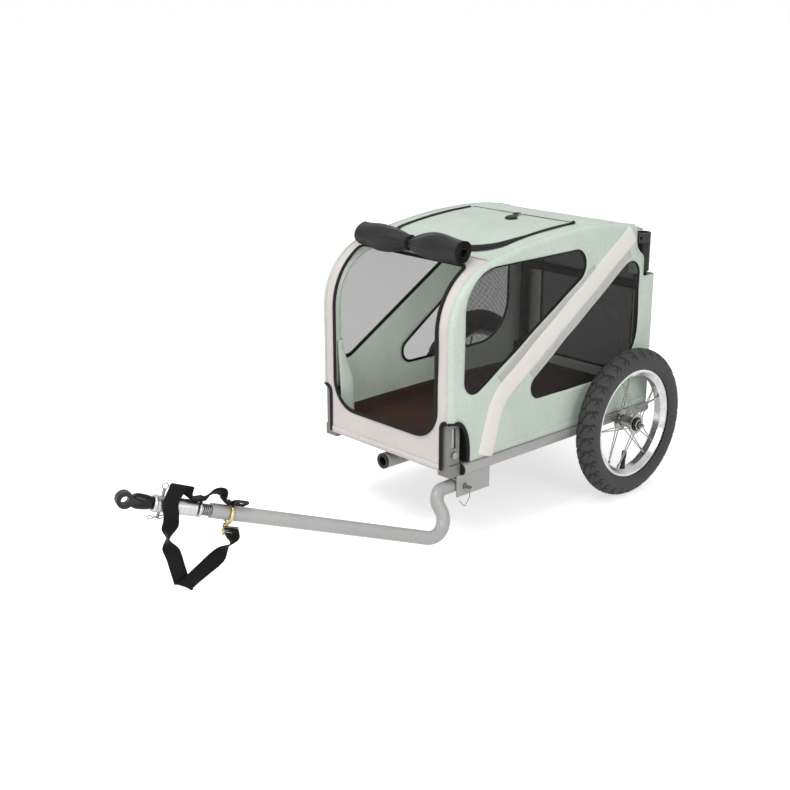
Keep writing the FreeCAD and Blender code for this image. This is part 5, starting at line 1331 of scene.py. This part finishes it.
def bend_tray(x, y):
    """The floor cloth: over the mat, then turned up by up to 17 mm at the walls and 16 mm at the ends."""
    rise = 17 * smooth((np.abs(x) - 138) / 34) * (0.75 + 0.25 * np.sin(np.pi * (y - 60) / 480))
    ends = 16 * smooth((24 - y) / 24) + 16 * smooth((y - 558) / 22)
    return metres(x, y, TRAY_LEVEL + np.maximum(rise, ends) + 0.5 * ripple(x, y, 41, 0.8))


panel("floor_tray", cut_cloth(tray_outer, (), 8), bend_tray, "frame", "floor_fabric", thickness=1.5)

# %% [markdown]
# Black gussets close the corners behind the front brackets, and mint linings sleeve the legs of the front
# hoop. Each is a curtain: a line on the floor plan that is carried up, and the lining's line turns from the
# bracket's box into a round sleeve on its way.

# %% Corner gussets
gusset_line = open_path([(137.0, 4.0, 0), (137.0, 42.0, 12), (173.0, 46.5, 0)], 3)
gusset_share = np.linspace(0, 1, len(gusset_line))
GUSSET_FOOT, GUSSET_TOP, LINING_FOOT, LINING_TOP, BOX_TOP = 161, 240, 163, 330.0, 232.0
LEG, SLEEVE_RADIUS = np.array([154.0, 17.0]), 12.5
LINING_CLEAR = np.array([-5.6, 4.2])
sleeve_turn = np.radians(205 - 190 * gusset_share)
sleeve_line = LEG + SLEEVE_RADIUS * np.stack([np.cos(sleeve_turn), np.sin(sleeve_turn)], axis=-1)


def fold_flat(item):
    """Gives the corner cloth a mesh of its own."""
    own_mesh(item)


gusset_rows, lining_rows = np.linspace(GUSSET_FOOT, GUSSET_TOP, 18), np.linspace(LINING_FOOT, LINING_TOP, 36)
tuck = 3 * np.sin((gusset_rows - GUSSET_FOOT) / (GUSSET_TOP - GUSSET_FOOT) * np.pi)[None]
drape = smooth((lining_rows - BOX_TOP) / (LINING_TOP - BOX_TOP))[None, :, None]
lining_line = (gusset_line[:, None] + LINING_CLEAR) * (1 - drape) + sleeve_line[:, None] * drape
for name, side in SIDES.items():
    gusset_x, gusset_y = (gusset_line[:, :1] - tuck) * side, gusset_line[:, 1:] + tuck * 0.4
    gusset_grid = metres(gusset_x, gusset_y, gusset_rows[None])
    gusset = surface(f"{name}_corner_gusset", gusset_grid, uv=strip_uv(gusset_line, gusset_rows))
    fold_flat(dress(gusset, "frame", "black_fabric", thickness=1.0))
    lining_grid = metres(lining_line[..., 0] * side, lining_line[..., 1], lining_rows[None])
    lining = surface(f"{name}_gusset_lining", lining_grid, uv=strip_uv(gusset_line, lining_rows))
    fold_flat(dress(lining, "frame", "mint_fabric", thickness=0.8))
print("gussets ready")

# %% [markdown]
# A tyre is a ring whose section is a circle cut open at the rim. The tread is a wavy pattern of grooves: the
# radius drops where any of four sets of lines passes. Cutting the blocks one by one would take far longer.

# %% Tread
TYRE_RING, TYRE_SECTION, WHEEL_X, AXLE_Y, AXLE_Z = 126.5, 23.4, 216.0, 464.0, 150.0
TREAD_STEPS, GROOVE_DEPTH, TYRE_WALL = 34, 2.4, 3.6


def tyre(turn, around):
    """Radius less groove depth, for turn round the wheel and around the section.

    Curved cross grooves follow phase = 34 turn / 2 pi + 0.62 sin(2.1 around). Hooked ones lie a quarter step
    to either side of them towards the shoulders, broken rings cross these, and a wavy line runs round the
    middle.
    """
    phase = TREAD_STEPS * turn / (2 * np.pi)
    across = np.abs(around)
    sweep_at = 0.62 * np.sin(2.1 * around) + 0.12 * np.sin(7 * around)
    cross = np.abs((phase + sweep_at) % 1 - 0.5)
    hook_at = 0.30 * np.cos(5.2 * (across - 0.62))
    hooks = np.abs((phase + np.sign(around) * 0.25 + hook_at) % 1 - 0.5)
    hooks = hooks + 3 * smooth((0.34 - across) / 0.05) + 3 * smooth((across - 0.98) / 0.06)
    middle = np.abs(around - 0.13 * np.sin(2 * np.pi * phase))
    rings = np.abs(across - 0.66 - 0.10 * np.sin(2 * np.pi * phase + around))
    groove = np.maximum.reduce([
        (1 - smooth((cross - 0.07) / 0.05)) * (1 - smooth((across - 1.16) / 0.1)),
        1 - smooth((hooks - 0.05) / 0.045),
        1 - smooth((middle - 0.045) / 0.04),
        (1 - smooth((rings - 0.02) / 0.035)) * smooth(np.sin(2 * np.pi * phase) * 3)])
    wall = 0.5 * np.exp(-((across - 1.42) / 0.05) ** 2) + 0.4 * np.exp(-((across - 1.85) / 0.06) ** 2)
    return TYRE_SECTION - GROOVE_DEPTH * groove + wall, groove


print(f"tread of {TREAD_STEPS} steps, {GROOVE_DEPTH} mm deep")

# %% [markdown]
# The tread's grid goes round the outside of the section, and a plain one comes back along the inside, so the
# tyre is a closed skin. The groove depth of each point is stored for the rubber's painted shade.

# %% Tyres
tread_turn = np.linspace(0, 2 * np.pi, 816, endpoint=False)
turn_at, around_at = np.meshgrid(tread_turn, np.linspace(-2.36, 2.36, 90), indexing="ij")
turn_in, around_in = np.meshgrid(tread_turn, np.linspace(2.3, -2.3, 20), indexing="ij")
outer_radius, groove_shade = tyre(turn_at, around_at)
turn_all, around_all = np.hstack([turn_at, turn_in]), np.hstack([around_at, around_in])
radius_all = np.hstack([outer_radius, np.full(around_in.shape, TYRE_SECTION - TYRE_WALL)])
# The inner skin counts as full groove depth, so it is painted fully dark as painted shade.
groove_shade_all = np.hstack([groove_shade, np.ones(around_in.shape)])
from_axle = TYRE_RING + radius_all * np.cos(around_all)
tyre_uv = np.stack([turn_all * 0.15, around_all * 0.0234], axis=-1)
for name, side in SIDES.items():
    grid = metres((WHEEL_X + radius_all * np.sin(around_all)) * side, AXLE_Y + from_axle * np.cos(turn_all),
                  AXLE_Z + from_axle * np.sin(turn_all))
    cover = surface(f"{name}_tyre_tread", grid, True, True, tyre_uv, closed=True)
    depth = cover.data.attributes.new("groove", "FLOAT", "POINT")
    depth.data.foreach_set("value", groove_shade_all.reshape(-1).astype(np.float32))
    dress(cover, f"{name}_wheel", "tyre_rubber")
    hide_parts(f"{name}_tyre")
print("tyres ready")

# %% [markdown]
# Small parts make a wheel read as a wheel: a nipple on each spoke where it meets the rim, a rubber valve, and
# the dark bearing seal and nut at the hub. The nipples' places are found in the spokes' own mesh, since a
# written list would be wrong as soon as the spokes change.

# %% Wheel details
NIPPLE = [(0, 2.6), (2.5, 2.6), (3.0, 1.8), (10, 1.6), (10.5, 1.2)]
VALVE = [(0, 5.6), (3, 5.4), (7, 4.4), (22, 4.2), (23, 5.0), (34, 5.0), (37, 3.6)]
SEAL = [(0, 8.8), (0, 13.4), (0.5, 14.0), (1.6, 14.0), (2.2, 13.0), (1.4, 10.0), (1.4, 8.8)]
NUT = [(0.2, 10.1), (0.2, 11.4), (0.6, 12.0), (3.4, 12.0), (4.0, 11.4), (4.0, 10.1)]
HUB_PARTS = [("hub_seal", 20.2, SEAL, 36, "black_plastic"), ("hub_nut", 22.6, NUT, 6, "chrome")]
VALVE_TURN, VALVE_FROM, SPOKES_FROM = np.radians(-97), 0.097, 0.095


def turned_row(name, ends, ways, profile, count=10):
    """Many small turned parts in one mesh, each a profile of (along, radius) on its own axis."""
    shape = np.array([(profile[0][0], 0.0), *profile, (profile[-1][0], 0.0)])
    turn = np.linspace(0, 2 * np.pi, count, endpoint=False)
    points, faces = [], []
    for end, way in zip(ends, ways):
        side_way = unit(np.cross(way, [0.9, 0.1, 0.2]))
        ring = np.cos(turn)[:, None] * side_way + np.sin(turn)[:, None] * np.cross(way, side_way)
        faces.append(quads(len(shape), count, wrap_cols=True) + len(points) * len(shape) * count)
        grid = end + (shape[:, :1, None] * way + shape[:, 1:, None] * ring[None]) * MM
        points.append(grid.reshape(-1, 3))
    return tidy(mesh_piece(name, np.vstack(points), np.vstack(faces)))


def spoke_ends(node, axle):
    """Mean point of each spoke's outer end: points beyond 95 mm from the axle, gathered by their angle."""
    mesh = frame["nodes"][node].data
    points = np.zeros(len(mesh.vertices) * 3)
    mesh.vertices.foreach_get("co", points)
    points = points.reshape(-1, 3)
    spoke = points - axle
    outer = points[np.hypot(spoke[:, 1], spoke[:, 2]) > SPOKES_FROM]
    angle = np.degrees(np.arctan2(outer[:, 2] - axle[2], outer[:, 1] - axle[1]))
    label = np.round(angle / 6).astype(int) % 60
    return np.array([outer[label == key].mean(axis=0) for key in np.unique(label)])


for name, side in SIDES.items():
    axle = metres(WHEEL_X * side, AXLE_Y, AXLE_Z)
    ends = spoke_ends(f"{name}_spokes", axle)
    inward = unit((axle - ends) * [0.15, 1, 1])
    nipples = turned_row(f"{name}_spoke_nipples", ends + inward * -0.001, inward, NIPPLE)
    dress(nipples, f"{name}_wheel", "chrome")
    radial = np.array([0, np.cos(VALVE_TURN), np.sin(VALVE_TURN)])
    valve = lathe(f"{name}_valve", axle + radial * VALVE_FROM, -radial, VALVE, 20)
    dress(valve, f"{name}_wheel", "black_plastic")
    for label, out, profile, count, finish in HUB_PARTS:
        spot = axle + np.array([out * side, 0, 0]) * MM
        part = lathe(f"{name}_{label}", spot, np.array([side, 0, 0]), profile, count, True)
        dress(part, f"{name}_wheel", finish)
print("wheel details ready")

# %% [markdown]
# The hard solids keep their shapes and only need their finishes, which follow the record's slots. A few have
# a finish of their own, because the photograph shows them darker or brighter than the rest of their slot; the
# brackets' darker grey is painted shade.

# %% Finishes on the solids
# The brackets take the darker grey, which is painted shade.
OWN_FINISH = {"front_left_bracket": "bracket_shaded_paint", "front_right_bracket": "bracket_shaded_paint",
              "left_rim": "rim_alloy", "right_rim": "rim_alloy", "rear_hoop": "black_paint"}
for entry in frame["record"]["subparts"]:
    solid = frame["nodes"][entry["node"]]
    solid.data.materials.clear()
    solid.data.materials.append(FINISHES[OWN_FINISH.get(entry["node"], entry["material_slot"])])
print("solids dressed")

# %% [markdown]
# The light is that of a plain studio: one large soft lamp from above the front and a weaker one from the
# trailer's left, where a single sun would give hard shadows. Two small lamps brighten the doorway and the
# inside of the cabin.

# %% Studio lamps
def lamp(name, place, target, size, power):
    """A square area lamp aimed at a point."""
    light = bpy.data.lights.new(name, "AREA")
    light.size, light.energy = size, power
    item = bpy.data.objects.new(name, light)
    item.location = place
    item.rotation_euler = (Vector(place) - Vector(target)).to_track_quat("Z", "Y").to_euler()
    bpy.context.scene.collection.objects.link(item)
    return item


CABIN_POINT = (0, 0.1, 0.3)
lamp("key_lamp", (-0.2, -1.7, 3.7), CABIN_POINT, 1.8, 60)
lamp("fill_lamp", (3.0, -0.7, 1.6), CABIN_POINT, 1.6, 33)
lamp("door_lamp", (0.7, -1.5, 0.55), (-0.1, 0.3, 0.3), 0.5, 4)
lamp("cabin_lamp", (0.06, 0.07, 0.46), (-0.17, 0.16, 0.26), 0.08, 0.19).visible_camera = False
print(len(bpy.data.lights), "lamps")

# %% [markdown]
# The surround is even and white. Surround and floor look brighter to the camera than they light the trailer,
# so the background stays white while the floor keeps the trailer's shadow.

# %% Studio surround and floor
LIGHTING_SHARE, FLOOR_GLOW, FLOOR_REACH = 0.66, 0.55, 30


def seen_directly(tree):
    """1 for rays from the camera, a mirror or glass, 0 for light that falls on the trailer."""
    path = add(tree, "ShaderNodeLightPath").outputs
    passed_on = maths(tree, "MAXIMUM", path["Is Glossy Ray"], path["Is Transmission Ray"])
    return maths(tree, "MAXIMUM", path["Is Camera Ray"], passed_on)


world = bpy.data.worlds.new("studio")
world.use_nodes = True
bpy.context.scene.world = world
sky = world.node_tree
strength = add(sky, "ShaderNodeMapRange",
               {"Value": seen_directly(sky), "To Min": LIGHTING_SHARE, "To Max": 1.0})
sky.nodes["Background"].inputs["Color"].default_value = (1, 1, 1, 1)
sky.links.new(strength.outputs["Result"], sky.nodes["Background"].inputs["Strength"])

floor_material = bpy.data.materials.new("studio_floor")
floor_material.use_nodes = True
floor_tree = floor_material.node_tree
floor_shader = floor_tree.nodes["Principled BSDF"]
floor_shader.inputs["Base Color"].default_value = (0.8, 0.8, 0.8, 1)
floor_shader.inputs["Roughness"].default_value = 0.9
glow = maths(floor_tree, "MULTIPLY", seen_directly(floor_tree), FLOOR_GLOW)
floor_shader.inputs["Emission Color"].default_value = (1, 1, 1, 1)
floor_tree.links.new(glow, floor_shader.inputs["Emission Strength"])
floor_corners = np.array([[-1, -1, 0], [1, -1, 0], [1, 1, 0], [-1, 1, 0]]) * FLOOR_REACH
floor = mesh_piece("studio_floor", floor_corners, [[0, 1, 2, 3]])
floor.data.materials.append(floor_material)
print("studio ready")

# %% [markdown]
# Last, the colours are shown as they are written.

# %% Close
bpy.context.scene.view_settings.view_transform = "Standard"
bpy.context.view_layer.update()
